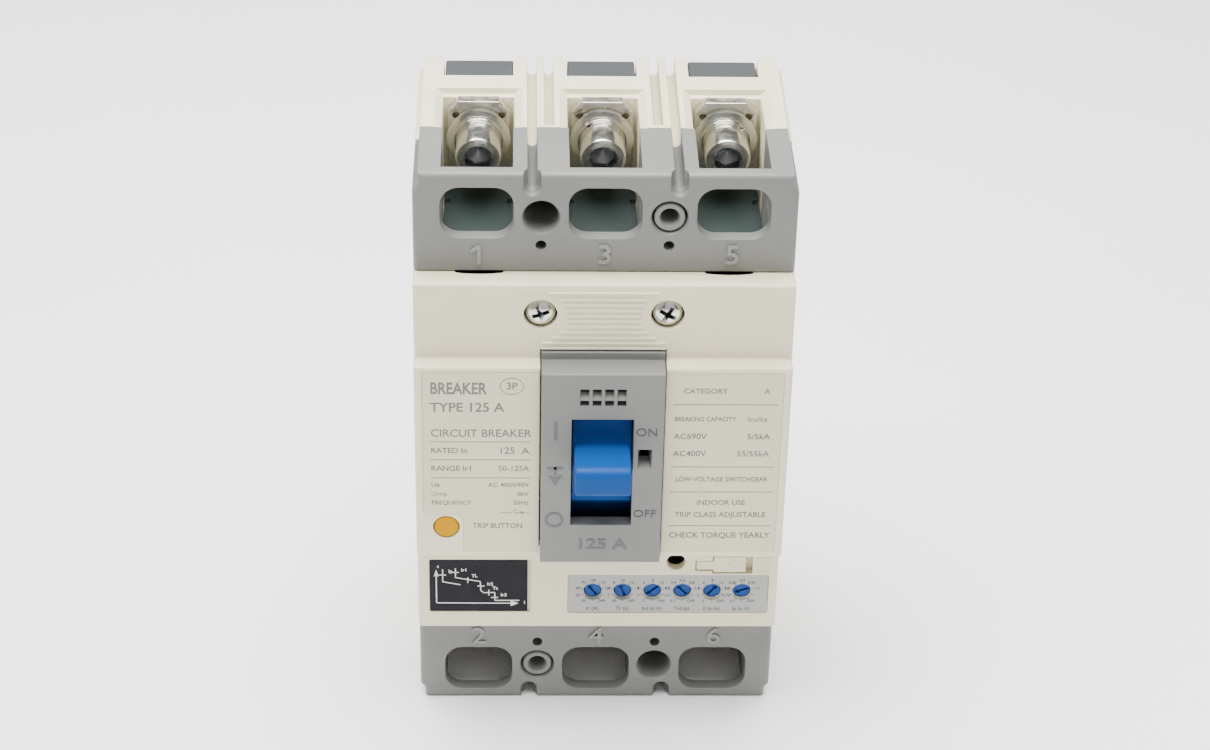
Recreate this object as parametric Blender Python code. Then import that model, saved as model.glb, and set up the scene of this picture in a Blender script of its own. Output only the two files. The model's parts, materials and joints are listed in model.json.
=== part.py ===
"""Three-pole molded case breaker, 90 x 155 mm body, built as its separate pieces.

Case coordinates, in millimetres: x across, d forward from the panel (the back face is d = 0), z up
towards the line end. The model itself is in metres, with +Y pointing into the panel.
"""

import math
from collections import namedtuple

import bmesh
import bpy
from mathutils import Matrix, Vector

MM = 0.001

# Lengths along z, stacked from the line end down. Their sum is the body length.
LINE_COVER_LENGTH = 26.0
PANEL_LENGTH = 20.6
NAMEPLATE_LENGTH = 55.2
DIAL_SECTION_LENGTH = 25.9
LOAD_COVER_LENGTH = 26.4

# Widths along x.
POLE_PITCH = 30.0
POLES = 3
CAVITY_WIDTH = 17.2
COVER_NOTCH_WIDTH = 16.8
TROUGH_WIDTH = 24.0
END_STEP = 1.25

# Depths along d.
BASE_DEPTH = 37.6
END_COVER_DEPTH = 23.4
PANEL_RISE = 6.0
NAMEPLATE_RISE = 4.0
DIAL_SECTION_DROP = 5.0
ESCUTCHEON_RISE = 3.0
FLOOR = 3.0
WALL = 2.5
END_COVER_WALL = 3.5
GAP = 0.3

# Fixing to the panel and between the shells. Each end's holes are placed from its row of fixing holes.
LINE_FIXING_INSET = 11.5
LOAD_FIXING_INSET = 10.6
FIXING_BORE = 4.6
FIXING_COUNTERBORE = 8.4
SLEEVE_OUTER = 6.8
SLEEVE_BORE = 4.4
ROW_TO_PILOT = 7.4
PILOT_BORE = 2.6
ROW_TO_END_STEP = 8.0
COVER_SCREW_DROP = 8.3
COVER_SCREW_HEAD = 7.4
COVER_SCREW_HEAD_HEIGHT = 2.2
COVER_SCREW_SHANK = 3.0
SCREW_BOSS = 10.6

# Phase-barrier slots in both ends.
SLOT_OFFSETS = (2.1, -2.0)
SLOT_WIDTH = 2.24
ROW_TO_SLOT = 7.5
ROW_TO_COVER_SLOT = 6.55
SLOT_MOUTH_WIDTH = 3.8
SLOT_MOUTH_DEPTH = 2.0
INNER_SLOT_WALL = 1.2

# Terminals.
ROW_TO_TERMINAL = 1.1
TERMINAL_FACE = 22.6
TERMINAL_THICKNESS = 3.0
TERMINAL_WIDTH = 15.0
TERMINAL_END_INSET = 1.2
TERMINAL_CHAMFER = 2.6
BAR_WIDTH = 12.0
TERMINAL_HOLE = 6.8
FLAT_WASHER = (15.4, 1.4)
SPRING_WASHER = (12.2, 1.7)
SCREW_HEAD = (11.0, 9.0)
SCREW_SHANK = (6.0, 10.0)
HEX_ACROSS_FLATS = 6.0
HEX_DEPTH = 4.0
WINDOW_SIZE = (17.0, 13.3)
WINDOW_RADIUS = 5.0

# Rear plugs, in the line end of the base.
PLUG_WIDTH = 16.7
PLUG_DEPTH = 10.2
PLUG_LENGTH = 13.0
PLUG_RECESS = 1.3

# Vent plates at the foot of the line cavities.
VENT_PLATE_THICKNESS = 1.5
VENT_PLATE_WIDTH = 16.4
VENT_NOTCH = (1.5, 2.2)
VENT_NOTCH_FROM_END = 6.0

# Escutcheon and handle.
ESCUTCHEON_WIDTH = 29.4
ESCUTCHEON_SKIRT = 12.0
ESCUTCHEON_WALL = 2.2
ESCUTCHEON_PLATE = 3.6
FLANGE_LENGTH = 2.4
HANDLE_WINDOW = (14.8, 30.7)
HANDLE_WINDOW_DROP = 28.05
VENT_SLOT = (2.1, 1.5)
VENT_SLOT_PITCH = (2.95, 3.2)
VENT_SLOT_DROP = 4.9
SIGHT_HOLE = (3.0, 5.0)
SIGHT_HOLE_AT = (10.25, 4.0)
PIVOT_DEPTH_BELOW_FACE = 36.0
REST_TILT = 5.7
SHIELD_RADIUS = 31.8
SHIELD_THICKNESS = 2.0
SHIELD_WIDTH = 18.6
SHIELD_HALF_ANGLE = 45.0
CROWN_RISE = 2.2
CROWN_HALF_ANGLE = 24.0
LEVER_WIDTH = 13.4
LEVER_THICKNESS = 7.2
LEVER_REACH = 47.7
LEVER_NOSE_RADIUS = 2.0
ARM_LEG = 1.2
ARM_LEG_WIDTH = 7.0
ARM_WIDTH = 20.0
ARM_PIVOT_BORE = 3.4
FRAME_PLATE = 1.2
PIVOT_STUD = 2.8
SPRING_RADIUS = 2.4
SPRING_OFFSET = 6.0
SPRING_START = 9.0

# Contact system.
SHAFT_DEPTH = 20.0
SHAFT_BELOW_PIVOT = 12.85
SHAFT_RADIUS = 5.5
RUNNING_GAP = 0.4
HUB_RADIUS = 8.0
ARM_BLADE_WIDTH = 7.0
ARM_BLADE_THICKNESS = 4.4
ARM_BLADE_REACH = 42.0
CONTACT_BUTTON = (5.0, 2.0)
REST_OPEN = 11.0
LINK_PLATE = 1.0
LINK_REACH = 25.3
LINK_REST_ANGLE = 18.4
LINK_HALF_WIDTH = 2.5
CHUTE_PLATES = 8
CHUTE_WIDTH = 18.8
CHUTE_PLATE = 1.2

# Trip unit, button and dials.
BUTTON_AT = (-37.6, 8.9)
BUTTON_DIAMETER = 6.0
BUTTON_FLANGE = 8.4
BUTTON_STEM = 3.0
BUTTON_TRAVEL = 2.0
TRIP_BAR_RISE = 3.0
TRIP_BAR_RADIUS = 2.5
TRIP_LEVER = (4.0, 2.0)
DIALS = 6
DIAL_PITCH = 7.5
FIRST_DIAL_X = -1.3
DIAL_DROP = 14.7
DIAL_DIAMETER = 4.3
DIAL_HEIGHT = 2.6
DIAL_RECESS = 1.0
DIAL_HOLE = 5.0
DIAL_PLATE_HOLE = 5.4
DIAL_PLATE_BOX = (-7.45, 42.75, 9.45, 21.1)
CURVE_LABEL_BOX = (-42.05, -17.65, 4.85, 20.75)
NAMEPLATE_EDGES = (43.05, 1.35, 1.65)
NAMEPLATE_NOTCH = (33.35, 12.55)
LABEL_THICKNESS = 0.35
LABEL_POCKET = 0.7
LAMP_HOLE = (19.35, 5.3, 4.7)
SHUTTER_BODY = (28.8, 36.85, 3.95, 8.6)
SHUTTER_TAIL = (24.5, 5.2, 7.8)
SHUTTER_TRAVEL = 1.4
SHUTTER_THICKNESS = 1.5
HOUSING_DEPTH = 17.0
HOUSING_WALL = 1.6
BOARD_THICKNESS = 1.6

ROUND = 24
SMALL_ROUND = 16
FAR = 200.0

# Places that follow from the sizes above.
BODY_WIDTH = POLES * POLE_PITCH
BODY_LENGTH = sum((LINE_COVER_LENGTH, PANEL_LENGTH, NAMEPLATE_LENGTH, DIAL_SECTION_LENGTH, LOAD_COVER_LENGTH))
TOP = (BODY_LENGTH + LINE_FIXING_INSET - LOAD_FIXING_INSET) / 2
BOTTOM = TOP - BODY_LENGTH
LINE_EDGE = TOP - LINE_COVER_LENGTH
NAMEPLATE_TOP = LINE_EDGE - PANEL_LENGTH
NAMEPLATE_BOTTOM = NAMEPLATE_TOP - NAMEPLATE_LENGTH
LOAD_EDGE = NAMEPLATE_BOTTOM - DIAL_SECTION_LENGTH
END_COVER_FACE = BASE_DEPTH + END_COVER_DEPTH
PANEL_FACE = END_COVER_FACE + PANEL_RISE
NAMEPLATE_FACE = PANEL_FACE + NAMEPLATE_RISE
DIAL_FACE = NAMEPLATE_FACE - DIAL_SECTION_DROP
ESCUTCHEON_FACE = NAMEPLATE_FACE + ESCUTCHEON_RISE
POLE_CENTRES = [POLE_PITCH * (i - (POLES - 1) / 2) for i in range(POLES)]
GAP_CENTRES = [POLE_PITCH * (i - (POLES - 2) / 2) for i in range(POLES - 1)]
INSIDE_TOP = LINE_EDGE - WALL
INSIDE_BOTTOM = LOAD_EDGE + WALL
PIVOT = (ESCUTCHEON_FACE - PIVOT_DEPTH_BELOW_FACE, NAMEPLATE_TOP - HANDLE_WINDOW_DROP)
SHAFT = (SHAFT_DEPTH, PIVOT[1] - SHAFT_BELOW_PIVOT)
TRIP_BAR = (BASE_DEPTH + TRIP_BAR_RISE, NAMEPLATE_BOTTOM - 0.7)
BUTTON_Z = NAMEPLATE_BOTTOM + BUTTON_AT[1]
DIAL_Z = NAMEPLATE_BOTTOM - DIAL_DROP
ESCUTCHEON_BOTTOM = NAMEPLATE_BOTTOM + GAP
TERMINAL_BACK = TERMINAL_FACE - TERMINAL_THICKNESS
SCREW_SEAT = TERMINAL_FACE + GAP
COVER_SCREW_Z = LINE_EDGE - COVER_SCREW_DROP
CONDUCTOR_END = SHAFT[1] - HUB_RADIUS - 7.5

# One end of the body: its outward sign along z, end plane, inner edge of its cover, row of fixing holes.
End = namedtuple("End", "name sign plane edge row")
LINE_END = End("line", 1, TOP, LINE_EDGE, TOP - LINE_FIXING_INSET)
LOAD_END = End("load", -1, BOTTOM, LOAD_EDGE, BOTTOM + LOAD_FIXING_INSET)

CREAM = ("cream_thermoset", (0.70, 0.67, 0.58), 0.45, 0.0)
GREY = ("grey_plastic", (0.30, 0.31, 0.30), 0.5, 0.0)
DARK_GREY = ("dark_grey_plastic", (0.19, 0.20, 0.21), 0.55, 0.0)
GREEN = ("green_fibre", (0.03, 0.06, 0.05), 0.6, 0.0)
BLUE = ("blue_plastic", (0.02, 0.14, 0.42), 0.35, 0.0)
ORANGE = ("orange_plastic", (0.60, 0.33, 0.03), 0.4, 0.0)
BLACK = ("black_plastic", (0.03, 0.03, 0.035), 0.5, 0.0)
LABEL_GREY = ("label_grey", (0.55, 0.56, 0.56), 0.5, 0.0)
LABEL_CREAM = ("label_cream", (0.72, 0.70, 0.62), 0.45, 0.0)
LABEL_BLACK = ("label_black", (0.05, 0.05, 0.055), 0.5, 0.0)
TINNED = ("tinned_copper", (0.75, 0.74, 0.70), 0.35, 1.0)
ZINC = ("zinc_steel", (0.68, 0.68, 0.66), 0.3, 1.0)
COPPER = ("bare_copper", (0.70, 0.35, 0.22), 0.35, 1.0)
STEEL = ("plain_steel", (0.45, 0.45, 0.46), 0.4, 1.0)
BOARD_GREEN = ("board_green", (0.02, 0.20, 0.08), 0.5, 0.0)


def clear_scene():
    for obj in list(bpy.data.objects):
        bpy.data.objects.remove(obj, do_unlink=True)


def case_point(x, d, z):
    return Vector((x * MM, -d * MM, z * MM))


def new_object(name, mesh):
    bmesh.ops.recalc_face_normals(mesh, faces=mesh.faces)
    data = bpy.data.meshes.new(name)
    mesh.to_mesh(data)
    mesh.free()
    obj = bpy.data.objects.new(name, data)
    bpy.context.scene.collection.objects.link(obj)
    return obj


def prism(name, outline, along, low, high):
    """A flat outline swept straight. along x takes (d, z) points, d takes (x, z), z takes (x, d)."""
    place = {
        "x": lambda u, v, w: case_point(w, u, v),
        "d": lambda u, v, w: case_point(u, w, v),
        "z": lambda u, v, w: case_point(u, v, w),
    }[along]
    mesh = bmesh.new()
    face = mesh.faces.new([mesh.verts.new(place(u, v, low)) for u, v in outline])
    swept = bmesh.ops.extrude_face_region(mesh, geom=[face])
    moved = [item for item in swept["geom"] if isinstance(item, bmesh.types.BMVert)]
    bmesh.ops.translate(mesh, verts=moved, vec=place(0, 0, high) - place(0, 0, low))
    return new_object(name, mesh)


def rectangle(u_low, u_high, v_low, v_high):
    return [(u_low, v_low), (u_high, v_low), (u_high, v_high), (u_low, v_high)]


def block(name, x, d, z):
    """A box from three (low, high) pairs."""
    return prism(name, rectangle(*x, *z), "d", *d)


def arc(centre, radius, start, end, steps):
    """Points on an arc, angles in degrees, both ends included."""
    angles = [math.radians(start + (end - start) * i / steps) for i in range(steps + 1)]
    return [(centre[0] + radius * math.cos(a), centre[1] + radius * math.sin(a)) for a in angles]


def circle(centre, radius, sides):
    return arc(centre, radius, 0, 360, sides)[:-1]


def rod(name, centre, diameter, along, low, high, sides=ROUND):
    return prism(name, circle(centre, diameter / 2, sides), along, low, high)


def rounded_rectangle(centre, size, radius, steps=5):
    points = []
    for turn, (sx, sz) in enumerate(((1, 1), (-1, 1), (-1, -1), (1, -1))):
        corner = (centre[0] + sx * (size[0] / 2 - radius), centre[1] + sz * (size[1] / 2 - radius))
        points += arc(corner, radius, 90 * turn, 90 * turn + 90, steps)
    return points


def turned(name, profile, centre, sides=ROUND):
    """A solid of revolution about the d direction through centre = (x, z); profile holds (radius, d)."""
    mesh = bmesh.new()
    rings = []
    for radius, d in profile:
        rings.append([mesh.verts.new(case_point(x, d, z)) for x, z in circle(centre, radius, sides)])
    for lower, upper in zip(rings, rings[1:]):
        for i in range(sides):
            j = (i + 1) % sides
            mesh.faces.new((lower[i], lower[j], upper[j], upper[i]))
    mesh.faces.new(rings[0])
    mesh.faces.new(rings[-1])
    return new_object(name, mesh)


def helper(obj):
    """Marks a construction solid, which only shapes others."""
    obj.hide_render = True
    obj.display_type = "WIRE"
    return obj


def combine(target, operation, tools):
    for tool in tools:
        modifier = target.modifiers.new(tool.name, "BOOLEAN")
        modifier.operation = operation
        modifier.solver = "EXACT"
        modifier.object = helper(tool)
    return target


def cut(target, *tools):
    return combine(target, "DIFFERENCE", tools)


def fuse(target, *tools):
    return combine(target, "UNION", tools)


def finish(obj, look, rounded=False):
    """Gives a piece its material and, for a round one, smooth shading with sharp corners."""
    name, colour, roughness, metallic = look
    material = bpy.data.materials.get(name)
    if material is None:
        material = bpy.data.materials.new(name)
        material.use_nodes = True
        shader = material.node_tree.nodes["Principled BSDF"]
        shader.inputs["Base Color"].default_value = (*colour, 1.0)
        shader.inputs["Roughness"].default_value = roughness
        shader.inputs["Metallic"].default_value = metallic
    obj.data.materials.append(material)
    if rounded:
        obj.data.shade_smooth()
        obj.data.set_sharp_from_angle(angle=math.radians(35))
    return obj


def set_origin(obj, point):
    """Moves an object's origin to a case point and leaves its shape where it is."""
    place = case_point(*point)
    obj.data.transform(Matrix.Translation(-place))
    obj.location = place
    return obj


def turn_about_x(objects, centre, angle):
    """Turns solids made upright about the axis along x through centre = (d, z); positive lifts the front."""
    place = case_point(0, *centre)
    turn = Matrix.Translation(place) @ Matrix.Rotation(math.radians(-angle), 4, "X")
    turn = turn @ Matrix.Translation(-place)
    for obj in objects:
        obj.data.transform(turn)


def around(centre, width):
    return (centre - width / 2, centre + width / 2)


def body_outline(low, high):
    """The shell's front view between two heights, with its narrower ends."""
    wide, narrow = BODY_WIDTH / 2, BODY_WIDTH / 2 - END_STEP
    right = []
    if low <= BOTTOM:
        step = LOAD_END.row - ROW_TO_END_STEP
        right += [(narrow, low), (narrow, step), (wide, step)]
    else:
        right += [(wide, low)]
    if high >= TOP:
        step = LINE_END.row + ROW_TO_END_STEP
        right += [(wide, step), (narrow, step), (narrow, high)]
    else:
        right += [(wide, high)]
    return right + [(-x, z) for x, z in reversed(right)]


def span(a, b):
    return (min(a, b), max(a, b))


def base_end_cutters(end):
    tools = []
    outside = end.plane + end.sign * 5
    for i, x in enumerate(POLE_CENTRES):
        way_d = (TERMINAL_BACK - GAP, TERMINAL_FACE + GAP)
        way_z = span(end.edge - end.sign * (WALL + 1), end.edge + end.sign)
        cavity_z = span(end.edge, outside)
        tools.append(block(f"cavity_{end.name}_{i}", around(x, CAVITY_WIDTH), (way_d[0], FAR), cavity_z))
        tools.append(block(f"bar_way_{end.name}_{i}", around(x, BAR_WIDTH + 2 * GAP), way_d, way_z))
        screw = (x, end.row + end.sign * ROW_TO_TERMINAL)
        low = SCREW_SEAT - SCREW_SHANK[1] - 1
        width = SCREW_SHANK[0] + 1.4
        tools.append(rod(f"shank_way_{end.name}_{i}", screw, width, "d", low, TERMINAL_BACK, 12))
    for i, x in enumerate(GAP_CENTRES):
        reach = span(end.row + end.sign * ROW_TO_SLOT, outside)
        for offset, front in zip(SLOT_OFFSETS, (FAR, BASE_DEPTH - INNER_SLOT_WALL)):
            slot_x = x + math.copysign(offset, offset * x)
            name = f"slot_{end.name}_{i}_{offset}"
            tools.append(block(name, around(slot_x, SLOT_WIDTH), (-1, front), reach))
    return tools


def base_hole_cutters(end):
    tools = []
    for i, x in enumerate(GAP_CENTRES):
        tools.append(rod(f"fixing_{end.name}_{i}", (x, end.row), FIXING_BORE, "d", -1, FAR, SMALL_ROUND))
        pilot = (x, end.row - end.sign * ROW_TO_PILOT)
        tools.append(rod(f"pilot_{end.name}_{i}", pilot, PILOT_BORE - 0.4, "d", BASE_DEPTH - 12, FAR, 10))
    return tools


def make_base():
    base = prism("base", body_outline(BOTTOM, TOP), "d", 0, BASE_DEPTH)
    cut(base, *base_hole_cutters(LINE_END), *base_hole_cutters(LOAD_END))
    for i, x in enumerate(POLE_CENTRES):
        trough = block(f"trough_{i}", around(x, TROUGH_WIDTH), (FLOOR, FAR), (INSIDE_BOTTOM, INSIDE_TOP))
        cut(base, trough)
        plug_slot = block(
            f"plug_slot_{i}",
            around(x, PLUG_WIDTH + 2 * GAP),
            (-1, PLUG_DEPTH + 2 * GAP),
            (TOP - PLUG_RECESS - PLUG_LENGTH - GAP, TOP + 5),
        )
        cut(base, plug_slot)
    for end in (LINE_END, LOAD_END):
        cut(base, *base_end_cutters(end))
    journal = SHAFT_RADIUS + RUNNING_GAP
    round_bottom = arc(SHAFT, journal, 90, 270, 12)
    notch = [(FAR, SHAFT[1] + journal), *round_bottom, (FAR, SHAFT[1] - journal)]
    reach = POLE_CENTRES[-1]
    cut(base, prism("shaft_notch", notch, "x", -reach, reach))
    transformer_z = (INSIDE_BOTTOM + 0.4, CONDUCTOR_END - 5)
    cut(base, block("transformer_notch", (-reach, reach), (FLOOR + 5, FAR), transformer_z))
    for i, x in enumerate(GAP_CENTRES):
        hole = rod(
            f"base_screw_hole_{i}",
            (x, COVER_SCREW_Z),
            COVER_SCREW_SHANK + 2 * GAP,
            "d",
            BASE_DEPTH - 12,
            FAR,
            12,
        )
        cut(base, hole)
    return finish(base, CREAM)


def make_rear_plug(number, x):
    top = TOP - PLUG_RECESS
    plug = block(f"rear_plug_{number}", around(x, PLUG_WIDTH), (0, PLUG_DEPTH), (top - PLUG_LENGTH, top))
    return finish(plug, DARK_GREY)


def make_end_cover(end):
    """A grey terminal cover: front wall with windows, posts between the cable notches."""
    name = f"{end.name}_cover"
    back = BASE_DEPTH + GAP
    outline = body_outline(*span(end.edge + end.sign * GAP / 2, end.plane))
    cover = prism(name, outline, "d", back, END_COVER_FACE)
    wall_back = END_COVER_FACE - END_COVER_WALL
    beyond = span(end.edge - end.sign * 5, end.plane + end.sign * 5)
    for i, x in enumerate(POLE_CENTRES):
        cut(cover, block(f"{name}_notch_{i}", around(x, COVER_NOTCH_WIDTH), (0, wall_back), beyond))
        window = rounded_rectangle((x, end.row + end.sign * ROW_TO_TERMINAL), WINDOW_SIZE, WINDOW_RADIUS)
        cut(cover, prism(f"{name}_window_{i}", window, "d", wall_back - 5, FAR))
    for i, x in enumerate(GAP_CENTRES):
        cut(cover, rod(f"{name}_fixing_{i}", (x, end.row), FIXING_COUNTERBORE, "d", 0, FAR))
        pilot = (x, end.row - end.sign * ROW_TO_PILOT)
        cut(cover, rod(f"{name}_pilot_{i}", pilot, PILOT_BORE, "d", 0, FAR, 12))
        slot_x = x + math.copysign(SLOT_OFFSETS[0], x)
        reach = span(end.row + end.sign * ROW_TO_COVER_SLOT, end.plane + end.sign * 5)
        cut(cover, block(f"{name}_slot_{i}", around(slot_x, SLOT_WIDTH), (0, FAR), reach))
        mouth_d = (END_COVER_FACE - SLOT_MOUTH_DEPTH, FAR)
        cut(cover, block(f"{name}_mouth_{i}", around(slot_x, SLOT_MOUTH_WIDTH), mouth_d, reach))
    return finish(cover, GREY)


def make_sleeve(name, x, z):
    low, high = BASE_DEPTH + GAP, END_COVER_FACE - GAP
    sleeve = rod(name, (x, z), SLEEVE_OUTER, "d", low, high)
    cut(sleeve, rod(f"{name}_bore", (x, z), SLEEVE_BORE, "d", low - 1, high + 1))
    return finish(sleeve, GREY, rounded=True)


def front_profile(wall):
    """The front cover's side view, as (d, z), drawn in by wall."""
    back = BASE_DEPTH + GAP if wall == 0 else 0
    end = GAP / 2 + wall
    return [
        (back, LOAD_EDGE + end),
        (DIAL_FACE - wall, LOAD_EDGE + end),
        (DIAL_FACE - wall, NAMEPLATE_BOTTOM + wall),
        (NAMEPLATE_FACE - wall, NAMEPLATE_BOTTOM + wall),
        (NAMEPLATE_FACE - wall, NAMEPLATE_TOP - wall),
        (PANEL_FACE - wall, NAMEPLATE_TOP - wall),
        (PANEL_FACE - wall, LINE_EDGE - end),
        (back, LINE_EDGE - end),
    ]


def nameplate_outline(side, grow):
    """The flat label on one side of the escutcheon; the left one leaves a notch for the button."""
    edge, top_margin, bottom_margin = NAMEPLATE_EDGES
    notch_x, notch_rise = NAMEPLATE_NOTCH
    inner = ESCUTCHEON_WIDTH / 2 + GAP + 0.2 - grow
    top = NAMEPLATE_TOP - top_margin + grow
    bottom = NAMEPLATE_BOTTOM + bottom_margin - grow
    outline = [(inner, bottom), (inner, top), (edge + grow, top)]
    if side < 0:
        notch = NAMEPLATE_BOTTOM + notch_rise - grow
        outline += [(edge + grow, notch), (notch_x + grow, notch), (notch_x + grow, bottom)]
    else:
        outline += [(edge + grow, bottom)]
    return [(side * x, z) for x, z in outline]


def below_nameplate(x_low, x_high, drop_low, drop_high, grow=0.0):
    """Outline of a feature on the dial section, as drops below the nameplate's lower edge."""
    return rectangle(
        x_low - grow, x_high + grow, NAMEPLATE_BOTTOM - drop_high - grow, NAMEPLATE_BOTTOM - drop_low + grow
    )


def shutter_outline(grow, slack):
    """The T-shaped test-port shutter; slack is extra room to its right."""
    x_low, x_high, drop_low, drop_high = SHUTTER_BODY
    tail_x, tail_low, tail_high = SHUTTER_TAIL
    top, bottom = NAMEPLATE_BOTTOM - drop_low + grow, NAMEPLATE_BOTTOM - drop_high - grow
    tail_top, tail_bottom = NAMEPLATE_BOTTOM - tail_low + grow, NAMEPLATE_BOTTOM - tail_high - grow
    return [
        (tail_x - grow, tail_bottom),
        (x_low - grow, tail_bottom),
        (x_low - grow, bottom),
        (x_high + slack + grow, bottom),
        (x_high + slack + grow, top),
        (x_low - grow, top),
        (x_low - grow, tail_top),
        (tail_x - grow, tail_top),
    ]


def dial_xs():
    return [FIRST_DIAL_X + DIAL_PITCH * i for i in range(DIALS)]


def make_front_cover():
    cover = prism("front_cover", front_profile(0), "x", -BODY_WIDTH / 2, BODY_WIDTH / 2)
    inside = BODY_WIDTH / 2 - WALL
    cut(cover, prism("front_hollow", front_profile(WALL), "x", -inside, inside))
    opening = around(0, ESCUTCHEON_WIDTH + 2 * GAP)
    opening_top = NAMEPLATE_TOP + FLANGE_LENGTH + GAP
    opening_z = (NAMEPLATE_BOTTOM - GAP, opening_top)
    cut(cover, block("escutcheon_opening", opening, (BASE_DEPTH + 10, FAR), opening_z))
    for i, x in enumerate(GAP_CENTRES):
        centre = (x, COVER_SCREW_Z)
        boss = rod(f"boss_{i}", centre, SCREW_BOSS, "d", BASE_DEPTH + 2 * GAP, PANEL_FACE - WALL / 2)
        fuse(cover, boss)
        cut(cover, rod(f"boss_bore_{i}", centre, COVER_SCREW_SHANK + 2 * GAP, "d", 0, FAR, 12))
        seat = PANEL_FACE - COVER_SCREW_HEAD_HEIGHT - GAP
        cut(cover, rod(f"head_seat_{i}", centre, COVER_SCREW_HEAD + 2 * GAP, "d", seat, FAR))
    button = (BUTTON_AT[0], BUTTON_Z)
    cut(cover, rod("button_hole", button, BUTTON_DIAMETER + 2 * GAP, "d", PANEL_FACE - 5, FAR))
    lamp_x, lamp_drop, lamp_diameter = LAMP_HOLE
    lamp = (lamp_x, NAMEPLATE_BOTTOM - lamp_drop)
    cut(cover, rod("lamp_hole", lamp, lamp_diameter, "d", DIAL_FACE - 5, FAR))
    for side in (-1, 1):
        nameplate = nameplate_outline(side, 0.2)
        cut(cover, prism(f"nameplate_pocket_{side}", nameplate, "d", NAMEPLATE_FACE - LABEL_POCKET, FAR))
    pocket = DIAL_FACE - LABEL_POCKET
    for name, box in (("dial_plate_pocket", DIAL_PLATE_BOX), ("curve_label_pocket", CURVE_LABEL_BOX)):
        cut(cover, prism(name, below_nameplate(*box, grow=0.2), "d", pocket, FAR))
    for i, x in enumerate(dial_xs()):
        cut(cover, rod(f"dial_hole_{i}", (x, DIAL_Z), DIAL_HOLE, "d", DIAL_FACE - 5, FAR, SMALL_ROUND))
    shutter_back = DIAL_FACE - SHUTTER_THICKNESS - 2 * GAP
    cut(cover, prism("shutter_pocket", shutter_outline(GAP, SHUTTER_TRAVEL), "d", shutter_back, FAR))
    x_low, x_high, drop_low, drop_high = SHUTTER_BODY
    port = below_nameplate(x_low + 1.4, x_high - 1.0, drop_low + 1.2, drop_high - 1.2)
    cut(cover, prism("test_port", port, "d", DIAL_FACE - 5, FAR))
    return finish(cover, CREAM)


def make_escutcheon():
    back = ESCUTCHEON_FACE - ESCUTCHEON_SKIRT
    flange_top = NAMEPLATE_TOP + FLANGE_LENGTH
    side_view = [
        (back, ESCUTCHEON_BOTTOM),
        (ESCUTCHEON_FACE, ESCUTCHEON_BOTTOM),
        (ESCUTCHEON_FACE, NAMEPLATE_TOP - 0.4),
        (PANEL_FACE, NAMEPLATE_TOP + 0.3),
        (PANEL_FACE + 1, flange_top),
        (back, flange_top),
    ]
    half = ESCUTCHEON_WIDTH / 2
    plate = prism("escutcheon", side_view, "x", -half, half)
    inner = half - ESCUTCHEON_WALL
    inner_z = (ESCUTCHEON_BOTTOM + ESCUTCHEON_WALL, NAMEPLATE_TOP - ESCUTCHEON_WALL)
    under = ESCUTCHEON_FACE - ESCUTCHEON_PLATE
    cut(plate, block("escutcheon_hollow", (-inner, inner), (0, under), inner_z))
    window_x, window_z = around(0, HANDLE_WINDOW[0]), around(PIVOT[1], HANDLE_WINDOW[1])
    cut(plate, block("handle_window", window_x, (0, FAR), window_z))
    for row in range(2):
        z = NAMEPLATE_TOP - VENT_SLOT_DROP - VENT_SLOT_PITCH[1] * row
        for column in range(4):
            x = VENT_SLOT_PITCH[0] * (column - 1.5)
            name = f"vent_{row}_{column}"
            cut(plate, block(name, around(x, VENT_SLOT[0]), (under - 1, FAR), around(z, VENT_SLOT[1])))
    sight_z = PIVOT[1] + SIGHT_HOLE_AT[1]
    sight_x = around(SIGHT_HOLE_AT[0], SIGHT_HOLE[0])
    cut(plate, block("sight_hole", sight_x, (0, FAR), around(sight_z, SIGHT_HOLE[1])))
    return finish(plate, GREY)


def handle_axis():
    """An empty on the handle's joint, tilted to the stored position."""
    axis = bpy.data.objects.new("handle_axis", None)
    axis.location = case_point(0, *PIVOT)
    axis.rotation_euler = (math.radians(-REST_TILT), 0, 0)
    bpy.context.scene.collection.objects.link(axis)
    return axis


def make_handle(axis):
    """Built about the pivot with the lever straight out; the empty tilts it."""
    inner = SHIELD_RADIUS - SHIELD_THICKNESS
    angle = SHIELD_HALF_ANGLE
    shell = arc((0, 0), SHIELD_RADIUS, -angle, angle, 18) + arc((0, 0), inner, angle, -angle, 18)
    handle = prism("handle", shell, "x", *around(0, SHIELD_WIDTH))
    half, nose = LEVER_THICKNESS / 2, LEVER_NOSE_RADIUS
    tip = LEVER_REACH - nose
    lever_side = [(inner + 1, -half)]
    lever_side += arc((tip + nose - 1, -half + 1), 1, -90, 0, 3)
    lever_side += arc((tip, half - nose), nose, 0, 90, 4)
    lever_side += [(inner + 1, half)]
    lever = prism("lever", lever_side, "x", *around(0, LEVER_WIDTH))
    foot = block("handle_foot", around(0, 12), (inner - 2.6, inner + 0.7), (-6, 6))
    angle = CROWN_HALF_ANGLE
    crown_side = arc((0, 0), SHIELD_RADIUS + CROWN_RISE, -angle, angle, 12)
    crown_side += arc((0, 0), inner + 0.9, angle, -angle, 12)
    crown = prism("handle_crown", crown_side, "x", *around(0, HANDLE_WINDOW[0] - 0.8))
    fuse(handle, crown, lever, foot)
    handle.parent = axis
    for tool in (crown, lever, foot):
        tool.parent = axis
    return finish(handle, BLUE, rounded=True)


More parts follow.
